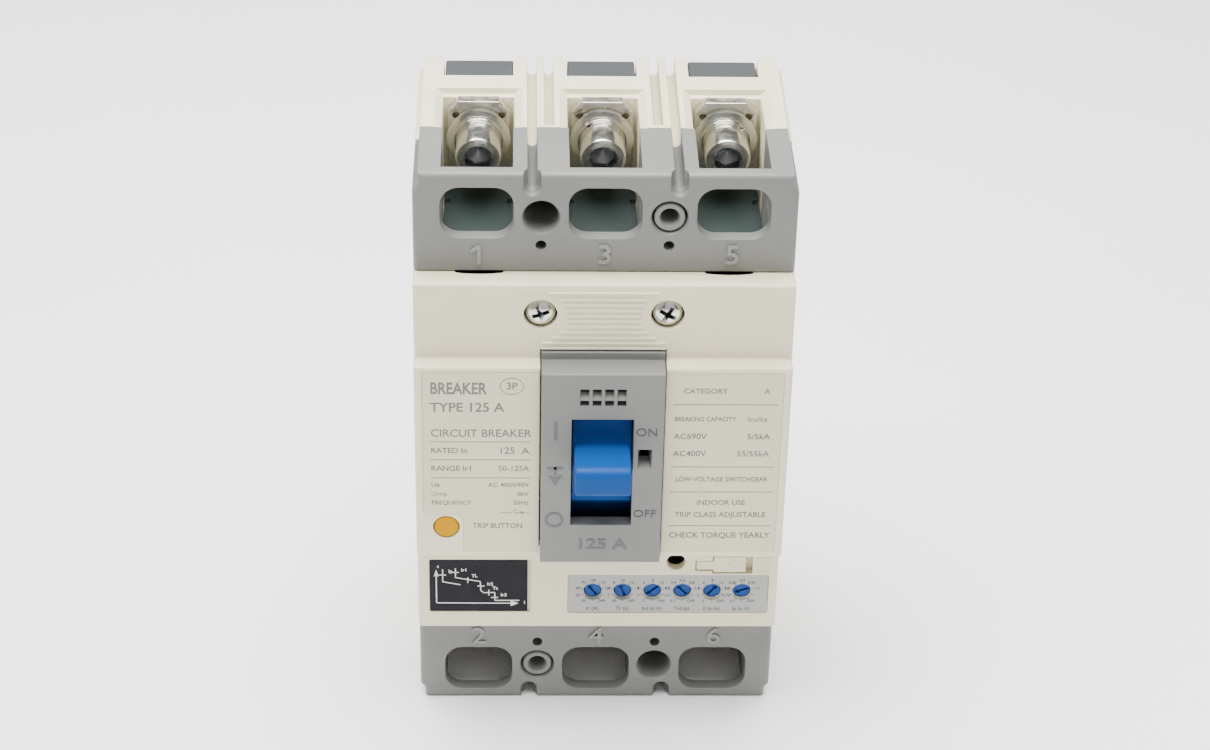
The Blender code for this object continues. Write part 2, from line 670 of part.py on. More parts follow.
def make_handle_arm(axis):
    """The steel yoke between the frame studs and the handle."""
    top = SHIELD_RADIUS - SHIELD_THICKNESS - 2.6 - GAP
    half = ARM_WIDTH / 2
    arm = block("handle_arm", (-half, half), (top - 1.4, top), (-5, 5))
    reach = ARM_LEG_WIDTH / 2
    leg_side = [(top, -reach), (top, reach), *arc((0, 0), reach, 90, 270, 8)]
    tools = [
        prism("arm_leg_left", leg_side, "x", -half, -half + ARM_LEG),
        prism("arm_leg_right", leg_side, "x", half - ARM_LEG, half),
    ]
    fuse(arm, *tools)
    bore = rod("arm_bore", (0, 0), ARM_PIVOT_BORE, "x", -half - 1, half + 1, SMALL_ROUND)
    cut(arm, bore)
    arm.parent = axis
    for tool in (*tools, bore):
        tool.parent = axis
    return finish(arm, STEEL)


def make_toggle_spring(name, x, axis):
    """The spring's envelope as a tube, between the yoke and the toggle pin."""
    top = SHIELD_RADIUS - SHIELD_THICKNESS - 2.6 - GAP - 1.4 - GAP
    spring = rod(name, (x, 0), 2 * SPRING_RADIUS, "d", SPRING_START, top, 12)
    bore = rod(f"{name}_bore", (x, 0), 2 * SPRING_RADIUS - 1.6, "d", SPRING_START - 1, top + 1, 12)
    cut(spring, bore)
    spring.parent = axis
    bore.parent = axis
    return finish(spring, STEEL, rounded=True)


def make_mechanism_frame():
    """Two side plates standing on the base floor, tied by two cross pins, with the handle's studs."""
    foot = FLOOR + GAP
    bridge = SHAFT[0] + SHAFT_RADIUS + 0.9
    top = ESCUTCHEON_FACE - ESCUTCHEON_SKIRT - 2
    low, high = TRIP_BAR[1] + TRIP_BAR_RADIUS + 0.5, NAMEPLATE_TOP - 7
    side = [
        (foot, low),
        (top, low),
        (top, high),
        (foot, high),
        (foot, high - 8),
        (bridge, high - 8),
        (bridge, SHAFT[1] - SHAFT_RADIUS - 1.4),
        (foot, SHAFT[1] - SHAFT_RADIUS - 1.4),
    ]
    inner = ARM_WIDTH / 2 + RUNNING_GAP
    outer = inner + FRAME_PLATE
    frame = prism("mechanism_frame", side, "x", inner, outer)
    other = prism("frame_plate", side, "x", -outer, -inner)
    pins = [
        rod("lower_pin", (PIVOT[0] + 10, low + 2.8), 4, "x", -outer + 0.2, outer - 0.2, 12),
        rod("upper_pin", (PIVOT[0] + 16, PIVOT[1] + 17), 4, "x", -outer + 0.2, outer - 0.2, 12),
    ]
    stud_tip = ARM_WIDTH / 2 - ARM_LEG
    studs = [
        rod("stud_right", PIVOT, PIVOT_STUD, "x", stud_tip, outer - 0.2, 12),
        rod("stud_left", PIVOT, PIVOT_STUD, "x", -outer + 0.2, -stud_tip, 12),
    ]
    fuse(frame, *pins, other, *studs)
    return finish(frame, STEEL)


def make_crossbar():
    reach = POLE_CENTRES[-1] + TROUGH_WIDTH / 2 - 2 * GAP
    bar = rod("crossbar", SHAFT, 2 * SHAFT_RADIUS, "x", -reach, reach)
    return finish(set_origin(bar, (0, *SHAFT)), BLACK, rounded=True)


def make_contact_arm(number, x):
    """A moving contact: a ring round the crossbar and a blade, stored a little open."""
    bore = SHAFT_RADIUS + RUNNING_GAP
    width = around(x, ARM_BLADE_WIDTH)
    half = ARM_BLADE_THICKNESS / 2
    name = f"contact_arm_{number}"
    arm = rod(name, SHAFT, 2 * HUB_RADIUS, "x", *width)
    blade_z = (SHAFT[1] + bore + 0.5, SHAFT[1] + ARM_BLADE_REACH)
    blade = block(f"{name}_blade", width, around(SHAFT[0], 2 * half), blade_z)
    length, height = CONTACT_BUTTON
    tip_z = SHAFT[1] + ARM_BLADE_REACH - 1
    back = SHAFT[0] - half - height
    button_x, button_z = around(x, ARM_BLADE_WIDTH - 1), (tip_z - length, tip_z)
    button = block(f"{name}_button", button_x, (back, SHAFT[0]), button_z)
    hole = rod(f"{name}_bore", SHAFT, 2 * bore, "x", x - ARM_BLADE_WIDTH, x + ARM_BLADE_WIDTH)
    fuse(arm, blade, button)
    cut(arm, hole)
    turn_about_x((arm, blade, button, hole), SHAFT, -REST_OPEN)
    for obj in (arm, blade, button, hole):
        set_origin(obj, (0, *SHAFT))
    return finish(arm, COPPER)


def make_toggle_link():
    """Two link plates that ride on the crossbar, tied by the toggle pin."""
    angle = math.radians(LINK_REST_ANGLE)
    pin = (SHAFT[0] + LINK_REACH * math.cos(angle), SHAFT[1] + LINK_REACH * math.sin(angle))
    inner = ARM_BLADE_WIDTH / 2 + 2.4
    degrees = LINK_REST_ANGLE
    side = arc(pin, LINK_HALF_WIDTH, degrees - 90, degrees + 90, 8)
    side += arc(SHAFT, HUB_RADIUS, degrees + 40, degrees + 320, 16)
    link = prism("toggle_link", side, "x", inner, inner + LINK_PLATE)
    other = prism("link_plate", side, "x", -inner - LINK_PLATE, -inner)
    tie = rod("toggle_pin", pin, 3, "x", -inner - 0.5, inner + 0.5, 12)
    bore = rod("link_bore", SHAFT, 2 * (SHAFT_RADIUS + RUNNING_GAP), "x", -inner - 3, inner + 3)
    fuse(link, tie, other)
    cut(link, bore)
    for obj in (link, other, tie, bore):
        set_origin(obj, (0, *SHAFT))
    return finish(link, STEEL)


def make_arc_chute(number, x):
    """Steel splitter plates held between two fibre sides, just beyond the contact tips."""
    name = f"arc_chute_{number}"
    low = SHAFT[1] + ARM_BLADE_REACH + 1.5
    high = INSIDE_TOP - TERMINAL_THICKNESS - 2 * GAP - 0.3
    back, front = 8.0, BASE_DEPTH + 6.4
    half = CHUTE_WIDTH / 2
    chute = block(name, (x - half, x - half + 1), (back, front), (low, high))
    tools = [block(f"{name}_side", (x + half - 1, x + half), (back, front), (low, high))]
    step = (front - back - 3) / (CHUTE_PLATES - 1)
    for i in range(CHUTE_PLATES):
        centre = back + 1.5 + step * i
        tools.append(
            block(
                f"{name}_plate_{i}",
                around(x, CHUTE_WIDTH - 1),
                around(centre, CHUTE_PLATE),
                (low + 2, high - 0.6),
            )
        )
    fuse(chute, *tools[1:], tools[0])
    return finish(chute, STEEL)


def terminal_plate(name, x, end, inner_z):
    """The flat end of a terminal, with clipped corners and the screw hole."""
    half, clip = TERMINAL_WIDTH / 2, TERMINAL_CHAMFER
    tip = end.plane - end.sign * TERMINAL_END_INSET
    shoulder = tip - end.sign * clip
    outline = [(x - half, inner_z), (x + half, inner_z), (x + half, shoulder), (x + half - clip, tip)]
    outline += [(x - half + clip, tip), (x - half, shoulder)]
    plate = prism(name, outline, "d", TERMINAL_BACK, TERMINAL_FACE)
    centre = (x, end.row + end.sign * ROW_TO_TERMINAL)
    return cut(plate, rod(f"{name}_hole", centre, TERMINAL_HOLE, "d", 0, FAR, SMALL_ROUND))


def make_line_terminal(number, x):
    """Terminal plate, a limb down behind the arc chute, and the fixed contact."""
    name = f"line_terminal_{number}"
    plate = terminal_plate(name, x, LINE_END, LINE_EDGE + 2.6)
    limb_high = INSIDE_TOP - GAP
    limb_low = limb_high - TERMINAL_THICKNESS
    rail = (FLOOR + 1, FLOOR + 1 + TERMINAL_THICKNESS)
    contact_high = SHAFT[1] + ARM_BLADE_REACH
    contact_low = contact_high - CONTACT_BUTTON[0] - 2
    moving_face = SHAFT[0] - ARM_BLADE_THICKNESS / 2 - CONTACT_BUTTON[1]
    side = [
        (TERMINAL_BACK, LINE_EDGE + 3.6),
        (TERMINAL_BACK, limb_high),
        (rail[0], limb_high),
        (rail[0], contact_low),
        (moving_face - GAP, contact_low),
        (moving_face - GAP, contact_high - 1),
        (rail[1], contact_high - 1),
        (rail[1], limb_low),
        (TERMINAL_FACE, limb_low),
        (TERMINAL_FACE, LINE_EDGE + 3.6),
    ]
    fuse(plate, prism(f"{name}_limb", side, "x", *around(x, BAR_WIDTH)))
    return finish(plate, TINNED)


def make_load_terminal(number, x):
    """Terminal plate and the straight bar through the current transformer."""
    name = f"load_terminal_{number}"
    plate = terminal_plate(name, x, LOAD_END, LOAD_EDGE - 2.6)
    bar_z = (LOAD_EDGE - 3.6, CONDUCTOR_END)
    fuse(plate, block(f"{name}_bar", around(x, BAR_WIDTH), (TERMINAL_BACK, TERMINAL_FACE), bar_z))
    return finish(plate, TINNED)


def make_flexible_link(number, x):
    """The braid from the load bar towards the contact arm, in its stored bow."""
    low = CONDUCTOR_END + GAP
    high = SHAFT[1] - HUB_RADIUS + 0.6
    side = [
        (TERMINAL_BACK, low),
        (TERMINAL_FACE, low),
        (TERMINAL_FACE, low + 1.5),
        (14.5, low + 3.2),
        (12.5, high),
        (9.8, high),
        (11.8, low + 2.2),
        (15.5, low),
    ]
    return finish(prism(f"flexible_link_{number}", side, "x", *around(x, 8)), COPPER)


def make_current_transformers():
    """One moulded block across the poles, with a window for each load bar."""
    half = POLE_CENTRES[-1] + TROUGH_WIDTH / 2 - 1
    z = (INSIDE_BOTTOM + 1, min(CONDUCTOR_END - 6.5, TRIP_BAR[1] - 1.5))
    ring = block("current_transformers", (-half, half), (FLOOR + 7, FLOOR + 29), z)
    way = (TERMINAL_BACK - 2 * GAP, TERMINAL_FACE + 2 * GAP)
    for i, x in enumerate(POLE_CENTRES):
        cut(ring, block(f"bar_window_{i}", around(x, BAR_WIDTH + 4 * GAP), way, (z[0] - 5, z[1] + 5)))
    return finish(ring, BLACK)


def make_terminal_screw(number, x, end):
    """Hex-socket cap screw with its captive spring and flat washers."""
    centre = (x, end.row + end.sign * ROW_TO_TERMINAL)
    flat, spring, head, shank = FLAT_WASHER, SPRING_WASHER, SCREW_HEAD, SCREW_SHANK
    seat = SCREW_SEAT
    spring_at = seat + flat[1]
    head_at = spring_at + spring[1]
    front = head_at + head[1]
    profile = [
        (shank[0] / 2, seat - shank[1]),
        (shank[0] / 2, seat),
        (flat[0] / 2, seat),
        (flat[0] / 2, spring_at),
        (spring[0] / 2, spring_at),
        (spring[0] / 2, head_at),
        (head[0] / 2, head_at),
        (head[0] / 2, front - 0.7),
        (head[0] / 2 - 0.7, front),
    ]
    screw = turned(f"terminal_screw_{number}", profile, centre)
    across_corners = HEX_ACROSS_FLATS / math.cos(math.pi / 6)
    cut(screw, rod(f"hex_{number}", centre, across_corners, "d", front - HEX_DEPTH, front + 2, 6))
    return finish(screw, ZINC, rounded=True)


def make_vent_plate(number, x):
    """Green fibre plate closing the foot of a line cavity, notched on both sides."""
    back = TERMINAL_FACE + 2 * GAP
    front = END_COVER_FACE - END_COVER_WALL - 2 * GAP
    half = VENT_PLATE_WIDTH / 2
    low = LINE_EDGE + GAP
    name = f"vent_plate_{number}"
    plate = block(name, (x - half, x + half), (back, front), (low, low + VENT_PLATE_THICKNESS))
    deep, long = VENT_NOTCH
    start = back + VENT_NOTCH_FROM_END
    for side in (-1, 1):
        x_span = span(x + side * (half - deep), x + side * (half + 1))
        cut(plate, block(f"{name}_notch_{side}", x_span, (start, start + long), (low - 1, low + 5)))
    return finish(plate, GREEN)


def make_cover_screw(name, x):
    centre = (x, COVER_SCREW_Z)
    seat = PANEL_FACE - COVER_SCREW_HEAD_HEIGHT
    tip = BASE_DEPTH - 10
    head, shank = COVER_SCREW_HEAD / 2, COVER_SCREW_SHANK / 2
    profile = [
        (shank, tip),
        (shank, seat),
        (head, seat),
        (head, PANEL_FACE - 0.8),
        (head - 1.2, PANEL_FACE),
    ]
    screw = turned(name, profile, centre, SMALL_ROUND)
    for i, size in enumerate(((3.8, 0.9), (0.9, 3.8))):
        driver = (PANEL_FACE - 1.4, FAR)
        cut(screw, block(f"{name}_cross_{i}", around(x, size[0]), driver, around(COVER_SCREW_Z, size[1])))
    return finish(screw, ZINC, rounded=True)


def make_trip_button():
    """Push-to-trip button: cap, retaining flange under the cover, long stem to the trip bar."""
    stem_end = TRIP_BAR[0] + TRIP_LEVER[1] / 2 + 0.5
    under = NAMEPLATE_FACE - WALL - GAP
    profile = [
        (BUTTON_STEM / 2, stem_end),
        (BUTTON_STEM / 2, under - 1.5),
        (BUTTON_FLANGE / 2, under - 1.5),
        (BUTTON_FLANGE / 2, under),
        (BUTTON_DIAMETER / 2, under),
        (BUTTON_DIAMETER / 2, NAMEPLATE_FACE),
    ]
    centre = (BUTTON_AT[0], BUTTON_Z)
    button = turned("trip_button", profile, centre)
    set_origin(button, (centre[0], NAMEPLATE_FACE, centre[1]))
    return finish(button, ORANGE, rounded=True)


def make_trip_bar():
    """The common trip bar, with a lever for the button, the latch and the actuator."""
    reach = POLE_CENTRES[-1] + TROUGH_WIDTH / 2 - 2
    bar = rod("trip_bar", TRIP_BAR, 2 * TRIP_BAR_RADIUS, "x", -reach, reach, SMALL_ROUND)
    width, thickness = TRIP_LEVER
    levers = ((BUTTON_AT[0], BUTTON_Z + 2.5), (0, TRIP_BAR[1] + 6), (POLE_CENTRES[-1] - 3, TRIP_BAR[1] + 9))
    for i, (x, top) in enumerate(levers):
        lever_d = around(TRIP_BAR[0], thickness)
        lever = block(f"trip_lever_{i}", around(x, width), lever_d, (TRIP_BAR[1], top))
        set_origin(lever, (0, *TRIP_BAR))
        fuse(bar, lever)
    return finish(set_origin(bar, (0, *TRIP_BAR)), BLACK)


def make_trip_unit():
    """Electronic trip unit: housing open to the back, circuit board and actuator."""
    half = BODY_WIDTH / 2 - WALL - 1
    front = DIAL_FACE - WALL - 2
    back = front - HOUSING_DEPTH
    z = (INSIDE_BOTTOM + 2 * GAP, NAMEPLATE_BOTTOM - 2.7)
    housing = block("trip_unit_housing", (-half, half), (back, front), z)
    wall = HOUSING_WALL
    inner_z = (z[0] + wall, z[1] - wall)
    cut(housing, block("housing_hollow", (-half + wall, half - wall), (0, front - wall), inner_z))
    finish(housing, BLACK)
    board_front = back - 2 * GAP
    board_d = (board_front - BOARD_THICKNESS, board_front)
    board = block("trip_unit_board", (-half + 1, half - 1), board_d, inner_z)
    finish(board, BOARD_GREEN)
    x = POLE_CENTRES[-1] - 3
    body_back = TRIP_BAR[0] + 5
    body_z = (TRIP_BAR[1] + 1, TRIP_BAR[1] + 12)
    actuator = block("trip_actuator", around(x, 14), (body_back, body_back + 13), body_z)
    plunger_z = TRIP_BAR[1] + 7
    plunger_tip = TRIP_BAR[0] + TRIP_LEVER[1] / 2 + 0.5
    fuse(actuator, rod("plunger", (x, plunger_z), 2.4, "d", plunger_tip, body_back + 1, 12))
    finish(actuator, STEEL)


def make_dial(number, x):
    """A slotted adjusting dial, turning about d in its hole."""
    front = DIAL_FACE - DIAL_RECESS
    dial = rod(f"dial_{number}", (x, DIAL_Z), DIAL_DIAMETER, "d", front - DIAL_HEIGHT, front, SMALL_ROUND)
    slot = block(f"dial_slot_{number}", around(x, 0.7), (front - 0.8, FAR), around(DIAL_Z, 3.4))
    cut(dial, slot)
    for obj in (dial, slot):
        set_origin(obj, (x, front, DIAL_Z))
    return finish(dial, BLUE, rounded=True)


def make_label(name, outline, face, look):
    """A thin label lying just under the surface round its pocket."""
    front = face - 0.2
    return finish(prism(name, outline, "d", front - LABEL_THICKNESS, front), look)


def make_labels():
    plate = make_label("dial_plate", below_nameplate(*DIAL_PLATE_BOX), DIAL_FACE, LABEL_GREY)
    for i, x in enumerate(dial_xs()):
        cut(plate, rod(f"plate_hole_{i}", (x, DIAL_Z), DIAL_PLATE_HOLE, "d", 0, FAR, SMALL_ROUND))
    make_label("curve_label", below_nameplate(*CURVE_LABEL_BOX), DIAL_FACE, LABEL_BLACK)
    make_label("nameplate_left", nameplate_outline(-1, 0), NAMEPLATE_FACE, LABEL_CREAM)
    make_label("nameplate_right", nameplate_outline(1, 0), NAMEPLATE_FACE, LABEL_CREAM)


def make_shutter():
    front = DIAL_FACE - 0.2
    shutter = prism("test_shutter", shutter_outline(0, 0), "d", front - SHUTTER_THICKNESS, front)
    return finish(shutter, CREAM)


def build():
    clear_scene()
    make_base()
    make_end_cover(LINE_END)
    make_end_cover(LOAD_END)
    make_sleeve("fixing_sleeve_line", GAP_CENTRES[-1], LINE_END.row)
    make_sleeve("fixing_sleeve_load", GAP_CENTRES[0], LOAD_END.row)
    make_front_cover()
    make_escutcheon()
    for i, x in enumerate(POLE_CENTRES):
        odd, even = 2 * i + 1, 2 * i + 2
        make_rear_plug(odd, x)
        make_line_terminal(odd, x)
        make_load_terminal(even, x)
        make_terminal_screw(odd, x, LINE_END)
        make_terminal_screw(even, x, LOAD_END)
        make_vent_plate(odd, x)
        make_arc_chute(i + 1, x)
        make_contact_arm(i + 1, x)
        make_flexible_link(i + 1, x)
    make_current_transformers()
    axis = handle_axis()
    make_handle(axis)
    make_handle_arm(axis)
    make_toggle_spring("toggle_spring_left", -SPRING_OFFSET, axis)
    make_toggle_spring("toggle_spring_right", SPRING_OFFSET, axis)
    make_mechanism_frame()
    make_crossbar()
    make_toggle_link()
    make_trip_button()
    make_trip_bar()
    make_trip_unit()
    for i, x in enumerate(dial_xs()):
        make_dial(i + 1, x)
    make_labels()
    make_shutter()
    make_cover_screw("cover_screw_left", GAP_CENTRES[0])
    make_cover_screw("cover_screw_right", GAP_CENTRES[-1])


build()
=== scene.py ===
import json
import math

import bmesh
import bpy
from mathutils import Matrix, Vector


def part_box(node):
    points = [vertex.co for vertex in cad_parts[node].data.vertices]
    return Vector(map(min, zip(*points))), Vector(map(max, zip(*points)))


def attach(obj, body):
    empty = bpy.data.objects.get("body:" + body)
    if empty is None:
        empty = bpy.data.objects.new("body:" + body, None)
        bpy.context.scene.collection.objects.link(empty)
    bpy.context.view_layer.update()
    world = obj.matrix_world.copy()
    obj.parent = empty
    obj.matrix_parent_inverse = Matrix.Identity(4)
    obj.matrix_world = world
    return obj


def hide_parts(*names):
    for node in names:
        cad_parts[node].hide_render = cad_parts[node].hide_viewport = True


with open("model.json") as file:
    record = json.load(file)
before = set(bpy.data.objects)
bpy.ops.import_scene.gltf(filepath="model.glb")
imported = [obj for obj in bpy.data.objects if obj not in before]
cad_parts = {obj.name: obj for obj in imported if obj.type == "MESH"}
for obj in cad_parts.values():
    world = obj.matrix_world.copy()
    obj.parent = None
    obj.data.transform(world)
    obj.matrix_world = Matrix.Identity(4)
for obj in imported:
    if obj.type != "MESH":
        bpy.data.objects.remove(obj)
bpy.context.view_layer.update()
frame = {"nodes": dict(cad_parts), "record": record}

# Case coordinates, in millimetres: x across, d forward from the panel, z up towards the line end.
MM = 0.001
NODES = frame["nodes"]
FAR = 200.0
TOP, BOTTOM = 77.5, -76.6
LINE_EDGE, LOAD_EDGE = 51.5, -50.2
PLATE_TOP, PLATE_BOTTOM = 30.9, -24.3
COVER_FACE, PANEL_FACE, PLATE_FACE, DIAL_FACE, ESCUTCHEON_FACE = 61, 67, 71, 66, 74
POLES = (-30, 0, 30)
ROWS = {"line": 66, "load": -66}
SIGNS = {"line": 1, "load": -1}
PIVOT = (38, 2.85)
REST_TILT = 5.7


# ---------------------------------------------------------------- materials

def new_material(name, colour, roughness, metallic=0.0):
    material = bpy.data.materials.new(name)
    material.use_nodes = True
    shader = material.node_tree.nodes["Principled BSDF"]
    shader.inputs["Base Color"].default_value = (*colour, 1)
    shader.inputs["Roughness"].default_value = roughness
    shader.inputs["Metallic"].default_value = metallic
    return material, material.node_tree, shader


def noise(tree, scale, detail=3.0, stretch=(1, 1, 1)):
    coordinates = tree.nodes.new("ShaderNodeTexCoord")
    mapping = tree.nodes.new("ShaderNodeMapping")
    mapping.inputs["Scale"].default_value = stretch
    texture = tree.nodes.new("ShaderNodeTexNoise")
    texture.inputs["Scale"].default_value = scale
    texture.inputs["Detail"].default_value = detail
    tree.links.new(coordinates.outputs["Object"], mapping.inputs["Vector"])
    tree.links.new(mapping.outputs["Vector"], texture.inputs["Vector"])
    return texture.outputs["Fac"]


def vary(tree, source, low, high, socket):
    spread = tree.nodes.new("ShaderNodeMapRange")
    spread.inputs["From Min"].default_value = 0.3
    spread.inputs["From Max"].default_value = 0.7
    spread.inputs["To Min"].default_value = low
    spread.inputs["To Max"].default_value = high
    tree.links.new(source, spread.inputs["Value"])
    tree.links.new(spread.outputs["Result"], socket)


def tint(tree, source, dark, light, socket):
    ramp = tree.nodes.new("ShaderNodeValToRGB")
    ramp.color_ramp.elements[0].position = 0.3
    ramp.color_ramp.elements[0].color = (*dark, 1)
    ramp.color_ramp.elements[1].position = 0.7
    ramp.color_ramp.elements[1].color = (*light, 1)
    tree.links.new(source, ramp.inputs["Fac"])
    tree.links.new(ramp.outputs["Color"], socket)


def bump(tree, source, strength, distance, shader):
    node = tree.nodes.new("ShaderNodeBump")
    node.inputs["Strength"].default_value = strength
    node.inputs["Distance"].default_value = distance * MM
    tree.links.new(source, node.inputs["Height"])
    tree.links.new(node.outputs["Normal"], shader.inputs["Normal"])


def plastic(name, colour, roughness, grain=0.25, mottle=0.03, gloss=0.5):
    material, tree, shader = new_material(name, colour, roughness)
    shader.inputs["Specular IOR Level"].default_value = gloss
    dark = [c * (1 - mottle) for c in colour]
    light = [min(1, c * (1 + mottle)) for c in colour]
    tint(tree, noise(tree, 45), dark, light, shader.inputs["Base Color"])
    vary(tree, noise(tree, 160), roughness - 0.05, roughness + 0.05, shader.inputs["Roughness"])
    bump(tree, noise(tree, 2600, 2), grain, 0.02, shader)
    return material


def metal(name, colour, roughness, stretch=(1, 1, 1), grain=0.2, mottle=0.08):
    material, tree, shader = new_material(name, colour, roughness, 1.0)
    dark = [c * (1 - mottle) for c in colour]
    light = [min(1, c * (1 + mottle)) for c in colour]
    tint(tree, noise(tree, 260, 4, stretch), dark, light, shader.inputs["Base Color"])
    vary(tree, noise(tree, 420, 4, stretch), roughness * 0.7, roughness * 1.35, shader.inputs["Roughness"])
    bump(tree, noise(tree, 1500, 3, stretch), grain, 0.015, shader)
    return material


CREAM = plastic("cream_thermoset_detailed", (0.71, 0.655, 0.475), 0.45)
GREY = plastic("grey_plastic_detailed", (0.16, 0.16, 0.15), 0.5)
# Pole numerals: the cover's grey painted lighter, a painted highlight standing in for their lit raised
# edges.
NUMERAL_GREY_LIT = plastic("grey_numeral_lit_detailed", (0.21, 0.21, 0.20), 0.45)
# Escutcheon marks: the escutcheon's grey painted darker, painted shade standing in for the shading around
# their raised edges.
GREY_MARK_SHADED = plastic("grey_mark_shaded", (0.085, 0.09, 0.09), 0.5)
WORD_GREY = plastic("grey_word", (0.035, 0.037, 0.045), 0.5)
PLUG_GREY = plastic("dark_grey_plastic_detailed", (0.045, 0.048, 0.05), 0.6, gloss=0.3)
GREEN = plastic("green_fibre_detailed", (0.010, 0.022, 0.020), 0.6, 0.5, 0.15)
BLUE = plastic("blue_plastic_detailed", (0.002, 0.05, 0.22), 0.45, 0.15, 0.05, 0.15)
DIAL_BLUE = plastic("dial_blue_detailed", (0.002, 0.05, 0.24), 0.45, 0.15, 0.05, 0.2)
ORANGE = plastic("orange_plastic_detailed", (0.50, 0.24, 0.0), 0.7, 0.15, 0.03, 0.05)
BLACK = plastic("black_plastic_detailed", (0.012, 0.012, 0.014), 0.4)
LABEL_CREAM = plastic("label_cream_detailed", (0.63, 0.575, 0.405), 0.5, 0.1, 0.015)
LABEL_GREY = plastic("label_grey_detailed", (0.34, 0.34, 0.33), 0.45, 0.1, 0.015)
LABEL_BLACK = plastic("label_black_detailed", (0.010, 0.009, 0.013), 0.7, 0.1, 0.05, 0.2)
INK_GREY = plastic("grey_ink", (0.13, 0.13, 0.122), 0.6, 0.05)
INK_BLACK = plastic("black_ink", (0.03, 0.03, 0.035), 0.6, 0.05)
INK_WHITE = plastic("white_ink", (0.72, 0.72, 0.68), 0.6, 0.05)
TINNED = metal("tinned_copper_detailed", (0.62, 0.60, 0.53), 0.33)
ZINC = metal("zinc_steel_detailed", (0.60, 0.59, 0.54), 0.2)
# Darker copy of the screw steel for faces inside sockets and recesses: painted shade standing in for the
# shadow inside them.
SOCKET_SHADE = metal("socket_shade_steel", (0.26, 0.27, 0.27), 0.3)
COPPER = metal("bare_copper_detailed", (0.62, 0.30, 0.19), 0.35)
STEEL = metal("plain_steel_detailed", (0.42, 0.42, 0.43), 0.38)
BOARD = plastic("board_green_detailed", (0.02, 0.18, 0.07), 0.45)


# ---------------------------------------------------------------- shapes

def case_point(x, d, z):
    return Vector((x * MM, -d * MM, z * MM))


def new_object(name, mesh):
    bmesh.ops.recalc_face_normals(mesh, faces=mesh.faces)
    data = bpy.data.meshes.new(name)
    mesh.to_mesh(data)
    mesh.free()
    obj = bpy.data.objects.new(name, data)
    bpy.context.scene.collection.objects.link(obj)
    return obj


def loft(name, lower, upper):
    """A solid between two matching rings of case points."""
    mesh = bmesh.new()
    rings = [[mesh.verts.new(case_point(*point)) for point in ring] for ring in (lower, upper)]
    count = len(lower)
    for i in range(count):
        j = (i + 1) % count
        mesh.faces.new((rings[0][i], rings[0][j], rings[1][j], rings[1][i]))
    mesh.faces.new(rings[0])
    mesh.faces.new(rings[1])
    return new_object(name, mesh)


def prism(outline, along, low, high, name="tool"):
    """A flat outline swept straight. along x takes (d, z) points, d takes (x, z), z takes (x, d)."""
    place = {
        "x": lambda u, v, w: (w, u, v),
        "d": lambda u, v, w: (u, w, v),
        "z": lambda u, v, w: (u, v, w),
    }[along]
    return loft(name, [place(u, v, low) for u, v in outline], [place(u, v, high) for u, v in outline])


def rectangle(u, v):
    return [(u[0], v[0]), (u[1], v[0]), (u[1], v[1]), (u[0], v[1])]


def block(x, d, z, name="tool"):
    return prism(rectangle(x, z), "d", *d, name)


def arc(centre, radius, start, end, steps):
    angles = [math.radians(start + (end - start) * i / steps) for i in range(steps + 1)]
    return [(centre[0] + radius * math.cos(a), centre[1] + radius * math.sin(a)) for a in angles]


def circle(centre, radius, sides=48):
    return arc(centre, radius, 0, 360, sides)[:-1]


def rod(centre, diameter, along, low, high, name="tool", sides=48):
    return prism(circle(centre, diameter / 2, sides), along, low, high, name)


def cone(centre, low, high, name="tool", sides=48):
    """A round solid along d between two (diameter, d) ends."""
    rings = [[(x, d, z) for x, z in circle(centre, diameter / 2, sides)] for diameter, d in (low, high)]
    return loft(name, *rings)


def rounded(x, z, radius, steps=6):
    centre = ((x[0] + x[1]) / 2, (z[0] + z[1]) / 2)
    half = ((x[1] - x[0]) / 2 - radius, (z[1] - z[0]) / 2 - radius)
    points = []
    for turn, (sx, sz) in enumerate(((1, 1), (-1, 1), (-1, -1), (1, -1))):
        corner = (centre[0] + sx * half[0], centre[1] + sz * half[1])
        points += arc(corner, radius, 90 * turn, 90 * turn + 90, steps)
    return points


def turned(name, profile, centre, sides=64):
    """A solid of revolution about the d direction through centre = (x, z); profile holds (radius, d)."""
    mesh = bmesh.new()
    rings = []
    for radius, d in profile:
        rings.append([mesh.verts.new(case_point(x, d, z)) for x, z in circle(centre, radius, sides)])
    closed = profile[0] == profile[-1]
    if closed:
        rings[-1] = rings[0]
    for lower, upper in zip(rings, rings[1:]):
        for i in range(sides):
            j = (i + 1) % sides
            mesh.faces.new((lower[i], lower[j], upper[j], upper[i]))
    if not closed:
        mesh.faces.new(rings[0])
        mesh.faces.new(rings[-1])
    loose = [v for v in mesh.verts if not v.link_faces]
    bmesh.ops.delete(mesh, geom=loose, context="VERTS")
    return new_object(name, mesh)


def bake(obj):
    """Applies the modifiers and removes the construction solids they used."""
    bpy.context.view_layer.update()
    graph = bpy.context.evaluated_depsgraph_get()
    data = bpy.data.meshes.new_from_object(obj.evaluated_get(graph))
    tools = [m.object for m in obj.modifiers if m.type == "BOOLEAN"]
    obj.modifiers.clear()
    obj.data = data
    for tool in tools:
        bpy.data.objects.remove(tool, do_unlink=True)
    return obj


def combine(obj, operation, tools):
    for tool in tools:
        modifier = obj.modifiers.new("boolean", "BOOLEAN")
        modifier.operation = operation
        modifier.solver = "EXACT"
        modifier.object = tool
    return bake(obj)


def cut(obj, *tools):
    return combine(obj, "DIFFERENCE", tools)


def fuse(obj, *tools):
    return combine(obj, "UNION", tools)


def clean(obj):
    mesh = bmesh.new()
    mesh.from_mesh(obj.data)
    bmesh.ops.remove_doubles(mesh, verts=mesh.verts, dist=0.000002)
    bmesh.ops.dissolve_limit(mesh, angle_limit=math.radians(0.6), verts=mesh.verts, edges=mesh.edges)
    bmesh.ops.triangulate(mesh, faces=[face for face in mesh.faces if len(face.verts) > 4])
    mesh.to_mesh(obj.data)
    mesh.free()


